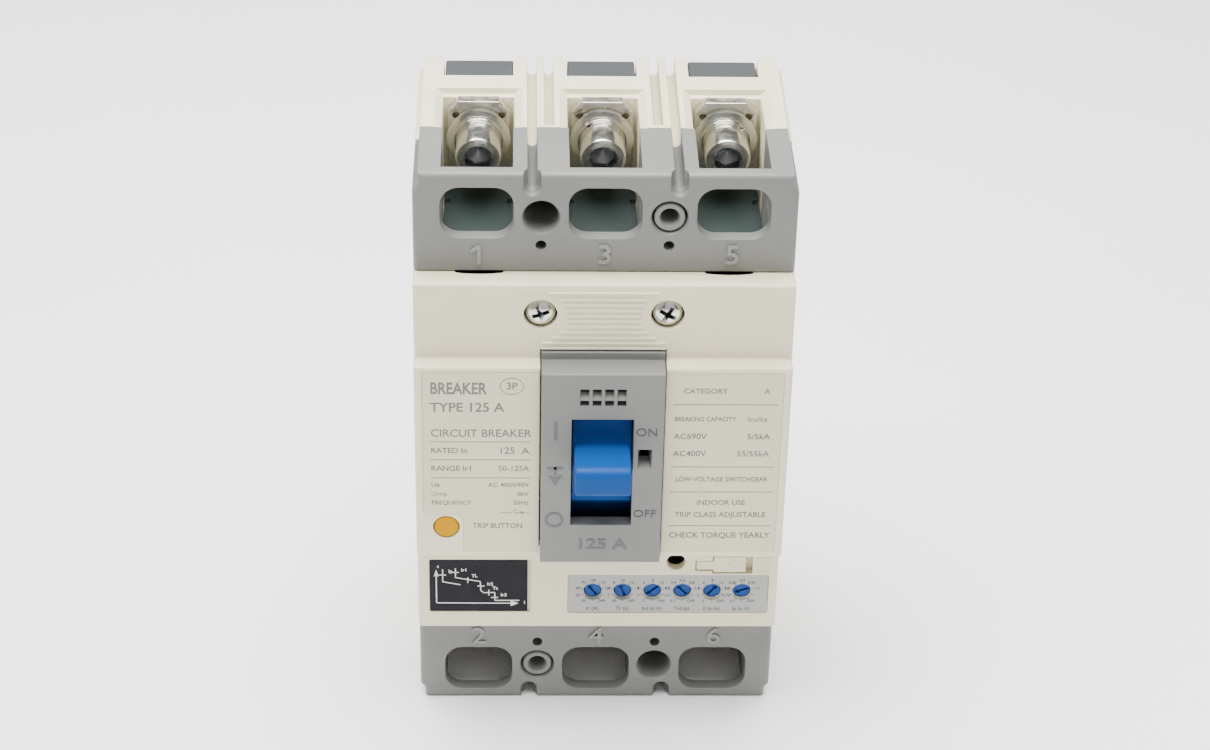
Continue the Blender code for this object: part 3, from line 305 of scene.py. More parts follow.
def soften(obj, width, segments=3, angle=32):
    """Rounds every sharp edge by a little."""
    clean(obj)
    modifier = obj.modifiers.new("round", "BEVEL")
    modifier.width = width * MM
    modifier.segments = segments
    modifier.limit_method = "ANGLE"
    modifier.angle_limit = math.radians(angle)
    modifier.use_clamp_overlap = False
    return bake(obj)


def shade(obj, angle):
    """Smooth shading on curved faces only: a face with no slightly turned neighbour its own size is flat."""
    obj.data.shade_smooth()
    obj.data.set_sharp_from_angle(angle=math.radians(angle))
    mesh = bmesh.new()
    mesh.from_mesh(obj.data)
    for face in mesh.faces:
        area = face.calc_area()
        curved = False
        for edge in face.edges:
            for other in edge.link_faces:
                if other is face:
                    continue
                turned_by = face.normal.angle(other.normal, 0)
                if math.radians(0.6) < turned_by < math.radians(angle) and other.calc_area() > area / 12:
                    curved = True
        face.smooth = curved
    mesh.to_mesh(obj.data)
    mesh.free()


def round_edges(obj, width, chosen, segments=4):
    """Rounds the edges that chosen(a, b) picks, from their two ends in case coordinates."""
    mesh = bmesh.new()
    mesh.from_mesh(obj.data)
    edges = []
    for edge in mesh.edges:
        a, b = [(v.co.x / MM, -v.co.y / MM, v.co.z / MM) for v in edge.verts]
        if chosen(a, b):
            edges.append(edge)
    bmesh.ops.bevel(mesh, geom=edges, offset=width * MM, segments=segments, profile=0.5, affect="EDGES")
    mesh.to_mesh(obj.data)
    mesh.free()
    return obj


def show(obj, name, material, body, *nodes, slot=None, angle=38):
    """Names a finished piece, gives it its material and puts it on its body."""
    obj.name = name
    obj.data.materials.clear()
    obj.data.materials.append(material)
    shade(obj, angle)
    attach(obj, body)
    if nodes:
        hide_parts(*nodes)
    return obj


def copy_of(node):
    obj = bpy.data.objects.new(node + "_copy", NODES[node].data.copy())
    bpy.context.scene.collection.objects.link(obj)
    clean(obj)
    return obj


def around(centre, width):
    return (centre - width / 2, centre + width / 2)


def span(a, b):
    return (min(a, b), max(a, b))


def join(name, objects):
    mesh = bmesh.new()
    for obj in objects:
        data = obj.data.copy()
        data.transform(obj.matrix_world)
        mesh.from_mesh(data)
        bpy.data.objects.remove(obj, do_unlink=True)
    data = bpy.data.meshes.new(name)
    mesh.to_mesh(data)
    mesh.free()
    joined = bpy.data.objects.new(name, data)
    bpy.context.scene.collection.objects.link(joined)
    return joined


def letters(words, x, d, z, height, depth=0.02, align="CENTER", wide=1.0, weight=0.0):
    """Words standing on the plane at d, height being that of a capital."""
    curve = bpy.data.curves.new("letters", "FONT")
    curve.body = words
    curve.size = height * MM / 0.7
    curve.extrude = depth * MM
    curve.offset = weight * MM
    curve.align_x = align
    curve.align_y = "CENTER"
    curve.resolution_u = 3
    obj = bpy.data.objects.new("letters", curve)
    bpy.context.scene.collection.objects.link(obj)
    place = Matrix.Translation(case_point(x, d, z)) @ Matrix.Rotation(math.radians(90), 4, "X")
    obj.matrix_world = place @ Matrix.Diagonal((wide, 1, 1, 1))
    bpy.context.view_layer.update()
    data = bpy.data.meshes.new_from_object(obj.evaluated_get(bpy.context.evaluated_depsgraph_get()))
    data.transform(obj.matrix_world)
    flat = bpy.data.objects.new("letters", data)
    bpy.context.scene.collection.objects.link(flat)
    bpy.data.objects.remove(obj, do_unlink=True)
    return flat


def stroke(points, width, d, depth=0.02):
    """A line of flat bars through (x, z) points on the plane at d."""
    bars = []
    for (x1, z1), (x2, z2) in zip(points, points[1:]):
        length = math.hypot(x2 - x1, z2 - z1)
        ux, uz = (x2 - x1) / length * width / 2, (z2 - z1) / length * width / 2
        corners = [(x1 - ux - uz, z1 - uz + ux), (x1 - ux + uz, z1 - uz - ux)]
        corners += [(x2 + ux + uz, z2 + uz - ux), (x2 + ux - uz, z2 + uz + ux)]
        bars.append(prism(corners, "d", d - depth, d + depth))
    return bars


def patch(points, d, depth=0.02):
    return prism(points, "d", d - depth, d + depth)


def turn_about_x(obj, centre, angle):
    place = case_point(0, *centre)
    turn = Matrix.Translation(place) @ Matrix.Rotation(math.radians(-angle), 4, "X")
    obj.data.transform(turn @ Matrix.Translation(-place))
    return obj


# ---------------------------------------------------------------- shells

def make_base():
    base = copy_of("base")
    tools = []
    for end, row in ROWS.items():
        sign = SIGNS[end]
        plane = TOP if sign > 0 else BOTTOM
        for x in POLES:
            lip, floor = plane + sign * 0.05, plane - sign * 1.6
            mouth = [(x - 10.55, lip), (x + 10.55, lip), (x + 8.55, floor), (x - 8.55, floor)]
            tools.append(prism(mouth, "d", 17.5, FAR))
            for side in (-1, 1):
                if sign > 0:
                    corner = [(x + side * 8.3, -0.1), (x + side * 9.9, -0.1), (x + side * 8.3, 2.6)]
                    tools.append(prism(corner, "z", 75, 90))
        for x, front in ((-17.1, FAR), (17.1, FAR), (-13.0, 36.4), (13.0, 36.4)):
            tools.append(rod((x, sign * 73.5), 2.24, "d", -1, front, sides=24))
    cut(base, *tools)
    soften(base, 0.22)
    show(base, "base_shell", CREAM, "breaker", "base", slot="cream_thermoset")


def end_outline(end):
    sign = SIGNS[end]
    plane, edge = (TOP, LINE_EDGE + 0.15) if sign > 0 else (BOTTOM, LOAD_EDGE - 0.15)
    row = ROWS[end]
    right = [(45, edge), (45, row + sign * 6.6), (43.75, row + sign * 8), (43.75, plane)]
    return right + [(-x, z) for x, z in reversed(right)]


def make_end_cover(end, numerals):
    sign, row = SIGNS[end], ROWS[end]
    plane = TOP if sign > 0 else BOTTOM
    edge = LINE_EDGE if sign > 0 else LOAD_EDGE
    cover = prism(end_outline(end), "d", 37.9, COVER_FACE)
    round_edges(cover, 1.3, lambda a, b: min(a[1], b[1]) > 60.9 and abs(a[2] + b[2] - 2 * edge) > 1, 5)
    beyond = span(edge - sign * 5, plane + sign * 5)
    tools = []
    for x in POLES:
        tools.append(block(around(x, 16.8), (0, 57.5), beyond))
        z = row + sign * 1.1
        tools.append(prism(rounded((x - 8.6, x + 8.6), (z - 6.7, z + 6.7), 4.6, 8), "d", 50, FAR))
    for x in (-15, 15):
        tools.append(rod((x, row), 8.4, "d", 0, FAR))
        tools.append(cone((x, row), (8.4, 60.4), (9.4, 61.2)))
        slot_x = x + math.copysign(2.1, x)
        bottom = row + sign * 6.55
        slot = [(slot_x - 1.12, plane + sign * 5),
                *arc((slot_x, bottom + sign * 1.12), 1.12, 180, 180 + sign * 180, 8)]
        slot.append((slot_x + 1.12, plane + sign * 5))
        tools.append(prism(slot, "d", 0, FAR))
        bulb_z = bottom + sign * 1.25
        tools.append(cone((slot_x, bulb_z), (2.3, 58.1), (3.7, 59.4), sides=32))
        tools.append(cone((slot_x, bulb_z), (3.7, 59.35), (4.3, 61.1), sides=32))
        flare = [(slot_x - 1.15, 58.1), (slot_x + 1.15, 58.1), (slot_x + 1.85, 59.4), (slot_x + 2.15, 61.1),
                 (slot_x - 2.15, 61.1), (slot_x - 1.85, 59.4)]
        tools.append(prism(flare, "z", *span(bulb_z, plane + sign * 5)))
    cut(cover, *tools)
    soften(cover, 0.18)
    cut(cover, *[rod((x, row - sign * 7.4), 2.6, "d", 50, FAR, sides=32) for x in (-15, 15)])
    name = f"{end}_cover"
    show(cover, f"{name}_shell", GREY, "breaker", name, slot="grey_plastic")
    middle = 56.05 if sign > 0 else -56.7
    marks = [numeral(n, x, middle) for n, x in zip(numerals, POLES)]
    # The numerals take the lighter grey: painted highlight.
    show(join(f"{end}_numerals", marks), f"{end}_numerals", NUMERAL_GREY_LIT, "breaker", slot="grey_plastic")


def numeral(number, x, z):
    """A raised pole number, 5 mm tall."""
    if number == 1:
        outline = [(0.9, -2.5), (0.9, 2.5), (0.1, 2.5), (-1.5, 1.35),
                   (-1.5, 0.55), (0.05, 1.45), (0.05, -2.5)]
        mark = prism([(x + u, z + v) for u, v in outline], "d", COVER_FACE - 0.2, COVER_FACE + 0.42)
    else:
        mark = letters(str(number), x, COVER_FACE, z, 5.0, 0.42, wide=1.08, weight=0.07)
    return mark


def front_profile(wall):
    back = 37.9 if wall == 0 else 0
    end = 0.15 + wall
    return [
        (back, LOAD_EDGE + end),
        (DIAL_FACE - wall, LOAD_EDGE + end),
        (DIAL_FACE - wall, PLATE_BOTTOM + wall),
        (PLATE_FACE - wall, PLATE_BOTTOM + wall),
        (PLATE_FACE - wall, PLATE_TOP - wall),
        (PANEL_FACE - wall, PLATE_TOP - wall),
        (PANEL_FACE - wall, LINE_EDGE - end),
        (back, LINE_EDGE - end),
    ]


def nameplate_outline(side, grow, radius):
    inner, edge = 15.2 - grow, 43.05 + grow
    top, bottom = PLATE_TOP - 1.35 + grow, PLATE_BOTTOM + 1.65 - grow
    outline = [(inner, bottom), (inner, top), *arc((edge - 0.8, top - 0.8), 0.8, 90, 0, 4)]
    if side < 0:
        notch_x, notch = 33.35 + grow, PLATE_BOTTOM + 12.55 - grow
        outline += [*arc((edge - 0.8, notch + 0.8), 0.8, 0, -90, 4)]
        outline += [*arc((notch_x + radius, notch - radius), radius, 90, 180, 6)]
        outline += [(notch_x, bottom)]
    else:
        outline += [*arc((edge - 0.8, bottom + 0.8), 0.8, 0, -90, 4)]
    return [(side * x, z) for x, z in outline]


RIDGES = (
    (49.16, 13.1), (47.43, 10.5), (45.98, 9.4), (44.52, 8.8), (43.0, 8.6), (41.54, 8.75),
    (39.99, 9.15), (38.4, 10.35), (36.93, 12.25), (35.39, 14.6), (33.98, 14.6),
)
DIALS = [-1.3 + 7.5 * i for i in range(6)]
DIAL_Z = -39.0


def shutter_outline(grow, slack):
    left, neck, right = 24.5 - grow, 28.8 - grow, 36.85 + grow + slack
    low, high = -32.9 - grow, -28.25 + grow
    return [(left, -32.1 - grow), (neck, -32.1 - grow), (neck, low), (right, low),
            (right, high), (neck, high), (neck, -29.5 + grow), (left, -29.5 + grow)]


def make_front_cover():
    cover = prism(front_profile(0), "x", -45, 45)
    round_edges(cover, 0.7, lambda a, b: max(a[1], b[1]) > 60, 4)
    inside = prism(front_profile(2.5), "x", -42.5, 42.5)
    tools = [inside, block((-15, 15), (47, FAR), (PLATE_BOTTOM - 0.3, PLATE_TOP + 2.7))]
    cut(cover, *tools)
    tools = []
    for x in (-15, 15):
        tools.append(rod((x, 43.2), 8.0, "d", 64.2, FAR))
    tools.append(rod((-37.6, PLATE_BOTTOM + 8.9), 6.5, "d", 60, FAR))
    tools.append(rod((19.35, PLATE_BOTTOM - 5.3), 4.7, "d", 60, FAR))
    tools.append(prism(nameplate_outline(-1, 0.06, 2.2), "d", PLATE_FACE - 0.5, FAR))
    tools.append(prism(nameplate_outline(1, 0.06, 2.2), "d", PLATE_FACE - 0.5, FAR))
    tools.append(prism(rounded((-7.55, 42.85), (-45.5, -33.65), 0.7), "d", DIAL_FACE - 0.7, FAR))
    tools.append(prism(rounded((-42.2, -16.9), (-45.2, -29.0), 0.6), "d", DIAL_FACE - 0.7, FAR))
    for x in DIALS:
        tools.append(rod((x, DIAL_Z), 4.6, "d", 60, FAR, sides=32))
    tools.append(prism(shutter_outline(0.25, 1.45), "d", DIAL_FACE - 2.1, FAR))
    for side in (-1, 1):
        scallop = [(29.5 * side + 5.7 * math.cos(a), 61 + 0.95 * math.sin(a)) for a in
                   [math.radians(180 * i / 20) for i in range(21)]]
        scallop += [(29.5 * side - 5.7, 50), (29.5 * side + 5.7, 50)]
        tools.append(prism(scallop, "z", LINE_EDGE - 6, 90))
    cut(cover, *tools)
    soften(cover, 0.15)
    show(cover, "front_cover_shell", CREAM, "breaker", "front_cover", slot="cream_thermoset")
    ridges = []
    for z, half in RIDGES:
        side = [(66.9, z - 0.42), (67.3, z - 0.25), (67.42, z), (67.3, z + 0.25), (66.9, z + 0.42)]
        ridge = prism(side, "x", -half, half)
        ridges.append(ridge)
    show(join("ridges", ridges), "grip_ridges", CREAM, "breaker", slot="cream_thermoset")
    frame_lines = stroke([(39.7, -28.4), (42.5, -28.4), (42.5, -32.7), (39.7, -32.7), (39.7, -28.4)],
                         0.22, DIAL_FACE, 0.08)
    show(join("port_mark", frame_lines), "port_mark", CREAM, "breaker", slot="cream_thermoset")


def make_escutcheon():
    side_view = [
        (62, -24.0), (74, -24.0), (74, 30.95), (67.9, 31.25), (67.9, 33.3), (62, 33.3),
    ]
    plate = prism(side_view, "x", -14.7, 14.7)
    round_edges(plate, 0.5, lambda a, b: min(a[1], b[1]) > 73.9, 3)
    tools = [block((-12.5, 12.5), (0, 70.4), (-21.8, 28.7))]
    cut(plate, *tools)
    tools = []
    low, high = PIVOT[1] - 15.35, PIVOT[1] + 15.35
    tools.append(block((-7.4, 7.4), (0, FAR), (low, high)))
    for z in (26.0, 22.8):
        for x in (-4.425, -1.475, 1.475, 4.425):
            tools.append(block(around(x, 2.1), (60, FAR), around(z, 1.5)))
            if z > 25:
                slope = [(74.2, 23.9), (74.2, 25.6), (72.3, 25.6), (73.7, 24.2)]
                tools.append(prism(slope, "x", x - 1.05, x + 1.05))
    outer = [(8.55, 74.1, 4.1), (11.95, 74.1, 4.1), (11.95, 74.1, 9.6), (8.55, 74.1, 9.6)]
    inner = [(9.1, 70.0, 5.8), (11.3, 70.0, 5.8), (11.3, 70.0, 9.3), (9.1, 70.0, 9.3)]
    tools.append(loft("tool", inner, outer))
    cut(plate, *tools)
    soften(plate, 0.16)
    show(plate, "escutcheon_shell", GREY, "breaker", "escutcheon", slot="grey_plastic")
    face = ESCUTCHEON_FACE
    marks = stroke([(-11.2, 17.2), (-11.2, 12.8)], 0.85, face, 0.12)
    marks += stroke([(-12.8, 4.2), (-9.6, 4.2)], 0.7, face, 0.12)
    marks += stroke([(-11.2, 4.2), (-11.2, 2.5)], 0.7, face, 0.12)
    marks.append(patch([(-12.9, 2.1), (-11.2, -0.9), (-9.5, 2.1), (-11.2, 1.5)], face, 0.12))
    ring = turned("ring", [(2.25, face - 0.1), (2.25, face + 0.12), (1.65, face + 0.12),
                           (1.65, face - 0.1), (2.25, face - 0.1)], (-11.35, -11.0), 40)
    marks.append(ring)
    marks.append(letters("125 A", 0.2, face, -18.4, 3.0, 0.1, wide=1.2, weight=0.1))
    show(join("escutcheon_marks", marks), "escutcheon_marks", GREY_MARK_SHADED, "breaker", slot="grey_plastic")
    words = [letters("ON", 10.6, face, 14.55, 2.25, 0.1, wide=1.05),
             letters("OFF", 10.65, face, -9.2, 2.1, 0.1, wide=1.08)]
    show(join("escutcheon_words", words), "escutcheon_words", WORD_GREY, "breaker", slot="grey_plastic")


# ---------------------------------------------------------------- handle and small parts

def make_handle():
    shell = arc(PIVOT, 31.8, -45, 45, 40) + arc(PIVOT, 29.8, 45, -45, 40)
    handle = prism(shell, "x", -9.3, 9.3)
    lever_side = [(PIVOT[0] + 30.8, PIVOT[1] - 3.6)]
    lever_side += arc((PIVOT[0] + 46.6, PIVOT[1] - 2.5), 1.1, -90, 0, 5)
    lever_side += arc((PIVOT[0] + 45.5, PIVOT[1] + 1.4), 2.2, 0, 90, 8)
    lever_side += [(PIVOT[0] + 30.8, PIVOT[1] + 3.6)]
    lever = prism(lever_side, "x", -6.7, 6.7)
    foot = block((-6, 6), (PIVOT[0] + 27.2, PIVOT[0] + 30.5), (PIVOT[1] - 6, PIVOT[1] + 6))
    crown = prism(arc(PIVOT, 34, -24, 24, 24) + arc(PIVOT, 30.7, 24, -24, 24), "x", -7.0, 7.0)
    round_edges(lever, 0.55, lambda a, b: abs(a[0] - b[0]) < 0.1 and max(a[1], b[1]) > PIVOT[0] + 31, 3)
    fuse(handle, crown, lever, foot)
    turn_about_x(handle, PIVOT, REST_TILT)
    show(handle, "handle_moulding", BLUE, "lever", "handle", slot="blue_plastic", angle=50)


def make_terminal_screws():
    for number in range(1, 7):
        end = "line" if number % 2 else "load"
        x = POLES[(number - 1) // 2]
        z = ROWS[end] + SIGNS[end] * 1.1
        turn = 17 * number
        head = turned(
            "head",
            [(3.0, 12.9), (3.0, 26.0), (5.15, 26.0), (5.5, 26.35), (5.5, 34.0), (5.25, 34.7), (4.6, 35.0)],
            (x, z), 96,
        )
        corners = arc((x, z), 3.46, turn, turn + 360, 6)[:-1]
        flare = [[(px, d, pz) for px, pz in arc((x, z), r, turn, turn + 360, 48)[:-1]]
                 for r, d in ((3.2, 34.7), (3.75, 35.1))]
        pit = [[(px, d, pz) for px, pz in arc((x, z), r, turn, turn + 360, 24)[:-1]]
               for r, d in ((0.3, 29.6), (2.95, 31.05))]
        cut(head, prism(corners, "d", 31, 40), loft("tool", *flare), loft("tool", *pit))
        name = f"terminal_screw_{number}"
        show(head, name + "_head", ZINC, "breaker", name, slot="zinc_steel")
        # Faces inside the hex socket get the darker steel: painted shade in the socket.
        head.data.materials.append(SOCKET_SHADE)
        for face in head.data.polygons:
            px, d, pz = face.center.x / MM, -face.center.y / MM, face.center.z / MM
            if 29 < d < 34.9 and math.hypot(px - x, pz - z) < 3.6:
                face.material_index = 1
        ring = turned("ring", [(3.3, 24.35), (6.1, 24.35), (6.1, 25.8), (3.3, 25.8), (3.3, 24.35)],
                      (x, z), 72)
        slit = prism([(x - 0.5, z + 2), (x + 0.3, z + 2), (x + 0.9, z + 8), (x + 0.1, z + 8)], "d", 20, 30)
        about_axis = Matrix.Rotation(math.radians(200 + 40 * number), 4, "Y")
        spin = Matrix.Translation(case_point(x, 0, z)) @ about_axis
        slit.data.transform(spin @ Matrix.Translation(-case_point(x, 0, z)))
        cut(ring, slit)
        soften(ring, 0.12)
        show(ring, name + "_spring_washer", ZINC, "breaker", slot="zinc_steel")
        flat = turned("flat", [(3.3, 22.9), (7.5, 22.9), (7.75, 23.05), (7.75, 24.1),
                               (7.5, 24.25), (3.3, 24.25), (3.3, 22.9)], (x, z), 96)
        show(flat, name + "_flat_washer", ZINC, "breaker", slot="zinc_steel")


def make_terminals():
    for number in range(1, 7):
        end = "line" if number % 2 else "load"
        x = POLES[(number - 1) // 2]
        name = f"{end}_terminal_{number}"
        plate = copy_of(name)
        z = ROWS[end] + SIGNS[end] * 6.5
        cut(plate, *[rod((x + side * 5.5, z), 1.8, "d", 15, 30, sides=20) for side in (-1, 1)])
        soften(plate, 0.2)
        show(plate, name + "_plate", TINNED, "breaker", name, slot="tinned_copper")


def make_plugs_and_plates():
    for number in (1, 3, 5):
        plug = copy_of(f"rear_plug_{number}")
        soften(plug, 0.45, 3)
        show(plug, f"rear_plug_{number}_moulding", PLUG_GREY,
             "breaker", f"rear_plug_{number}", slot="dark_grey_plastic")
        plate = copy_of(f"vent_plate_{number}")
        # The vent plate is widened by 2.2% across so that its dark sheet covers the gap beside it, where the
        # cavity wall is in shadow: painted shade.
        centre = POLES[(number - 1) // 2] * MM
        for vertex in plate.data.vertices:
            vertex.co.x = centre + (vertex.co.x - centre) * 1.022
        soften(plate, 0.15)
        show(plate, f"vent_plate_{number}_sheet", GREEN,
             "breaker", f"vent_plate_{number}", slot="green_fibre")


def make_sleeves():
    for end, x in (("line", 15), ("load", -15)):
        z = ROWS[end]
        profile = [(2.2, 37.9), (3.65, 37.9), (3.65, 60.3),
                   (3.4, 60.6), (2.5, 60.6), (2.2, 60.2), (2.2, 37.9)]
        sleeve = turned("sleeve", profile, (x, z), 64)
        show(sleeve, f"fixing_sleeve_{end}_tube", GREY, "breaker",
             f"fixing_sleeve_{end}", slot="grey_plastic")


def make_cover_screws():
    for side, x in (("left", -15), ("right", 15)):
        profile = [(1.5, 27.6), (1.5, 64.8), (3.3, 64.8), (3.65, 65.1),
                   (3.6, 65.6), (3.1, 66.3), (2.1, 66.8), (0.9, 67.0)]
        screw = turned("screw", profile, (x, 43.2), 64)
        tools = []
        for turn in (20, 110) if side == "left" else (60, 150):
            wing = []
            for length, width, d in ((1.2, 0.5, 64.6), (4.9, 1.15, 67.2)):
                corners = rectangle(around(0, length), around(0, width))
                a = math.radians(turn)
                wing.append([(x + u * math.cos(a) - v * math.sin(a), d,
                              43.2 + u * math.sin(a) + v * math.cos(a)) for u, v in corners])
            tools.append(loft("tool", *wing))
        cut(screw, *tools)
        show(screw, f"cover_screw_{side}_head", ZINC, "breaker", f"cover_screw_{side}", slot="zinc_steel")
        # Faces inside the recess that do not face forward get the darker steel: painted shade in the recess.
        screw.data.materials.append(SOCKET_SHADE)
        for face in screw.data.polygons:
            reach = math.hypot(face.center.x / MM - x, face.center.z / MM - 43.2)
            if face.normal.y > -0.75 and reach < 2.6 and -face.center.y / MM > 60:
                face.material_index = 1


def make_button():
    z = PLATE_BOTTOM + 8.9
    profile = [(1.5, 42.1), (1.5, 66.7), (4.2, 66.7), (4.2, 68.2), (2.95, 68.2), (2.95, 70.8), (2.75, 71.0)]
    button = turned("button", profile, (-37.6, z), 64)
    show(button, "trip_button_cap", ORANGE, "button", "trip_button", slot="orange_plastic")


DIAL_TURNS = (35, 20, 130, 42, -38, 110)


def make_dials():
    for i, x in enumerate(DIALS):
        centre = (x, DIAL_Z)
        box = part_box(f"dial_{i + 1}")
        back, front = -box[1].y / MM, -box[0].y / MM
        dial = turned("dial", [(2.15, back), (2.15, front - 0.15), (2.0, front)], centre, 48)
        a = math.radians(DIAL_TURNS[i])
        slot = [(x + u * math.cos(a) - v * math.sin(a), DIAL_Z + u * math.sin(a) + v * math.cos(a))
                for u, v in
                [(-0.3, -1.8), (0.3, -1.8), (0.3, 0.9), (0.75, 0.9), (0, 1.9), (-0.75, 0.9), (-0.3, 0.9)]]
        cut(dial, prism(slot, "d", front - 0.7, FAR))
        show(dial, f"dial_{i + 1}_face", DIAL_BLUE,
             f"dial_body_{i + 1}", f"dial_{i + 1}", slot="blue_plastic")


DIAL_MARKS = (
    ("63", "80", "90", "100", "112", "125", "50", "OFF"),
    ("3", "6", "8", "10", "12", "15", "18", "OFF"),
    ("3", "4", "6", "8", "10", "12", "2", "OFF"),
    ("0.2", "0.3", "0.4", "0.6", "0.8", "1.0", "0.1", "OFF"),
    ("3", "4", "6", "8", "10", "12", "2", "OFF"),
    ("0.75", "0.8", "0.85", "0.9", "0.95", "1.0", "0.7", "OFF"),
)
DIAL_NAMES = ("Ir (A)", "Tr (s)", "Isd (x Ir)", "Tsd (s)", "Ii (x In)", "Ip (x Ir)")


def make_dial_plate():
    face = DIAL_FACE - 0.2
    plate = prism(rounded((-7.45, 42.75), (-45.4, -33.75), 0.6), "d", face - 0.35, face)
    cut(plate, *[rod((x, DIAL_Z), 5.0, "d", 60, 70, sides=32) for x in DIALS])
    show(plate, "dial_plate_film", LABEL_GREY, "breaker", "dial_plate", slot="label_grey")
    marks = []
    for x, values, name in zip(DIALS, DIAL_MARKS, DIAL_NAMES):
        for k in range(10):
            a = math.radians(90 + 36 * k)
            marks.append(patch(circle((x + 2.75 * math.cos(a), DIAL_Z + 2.75 * math.sin(a)), 0.16, 8), face))
        for k, value in enumerate(values):
            a = math.radians(198 - 36 * k) if k < 6 else math.radians(234 if k == 6 else -54)
            reach = 3.55 + 0.12 * len(value)
            marks.append(letters(value, x + reach * math.cos(a), face,
                                 DIAL_Z + 3.55 * math.sin(a), 0.78, weight=0.02))
        marks.append(letters(name, x, face, DIAL_Z - 5.2, 1.0, weight=0.02))
    show(join("dial_marks", marks), "dial_marks", INK_BLACK, "breaker", slot="label_grey")


def make_curve_label():
    face = DIAL_FACE - 0.2
    label = block((-42.05, -17.65), (face - 0.35, face), (-45.05, -29.15))
    show(label, "curve_label_film", LABEL_BLACK, "breaker", "curve_label", slot="label_black")

    def at(across, down):
        return (-42.05 + across, -29.15 - down)

    lines = [
        [(1.6, 4.5), (1.6, 13.4), (20.4, 13.5)],
        [(3.2, 3.1), (3.2, 6.8), (7.5, 7.7)],
        [(6.4, 2.8), (6.4, 5.5), (12.6, 6.7), (12.7, 9.5),
         (13.4, 10.2), (16.2, 10.1), (16.2, 12.6), (22.2, 12.6)],
        [(2.4, 4.7), (3.9, 4.7)],
        [(5.6, 3.9), (7.1, 3.9)],
        [(9.5, 5.6), (9.5, 7)],
        [(12, 8.1), (13.5, 8.1)],
        [(14.7, 9.4), (14.7, 10.9)],
        [(15.4, 11.7), (16.9, 11.7)],
    ]
    marks = []
    for line in lines:
        marks += stroke([at(*point) for point in line], 0.26, face)
    marks.append(patch([at(1, 5.1), at(1.6, 3.1), at(2.2, 5.1)], face))
    marks.append(patch([at(20.2, 12.7), at(22.1, 13.5), at(20.2, 14.4)], face))
    names = (
        ("t", 1.6, 2.2), ("Ip", 4.7, 3.7), ("Ir1", 8.1, 3.3), ("TL", 10.7, 5.1),
        ("Ir2", 14.6, 7.6), ("Ts", 15.9, 8.9), ("Ir3", 18, 11), ("I", 23.2, 13.4),
    )
    for words, across, down in names:
        x, z = at(across, down)
        marks.append(letters(words, x + 0.45, face, z + 0.1, 0.95, weight=0.02))
    show(join("curve_marks", marks), "curve_marks", INK_WHITE, "breaker", slot="label_black")


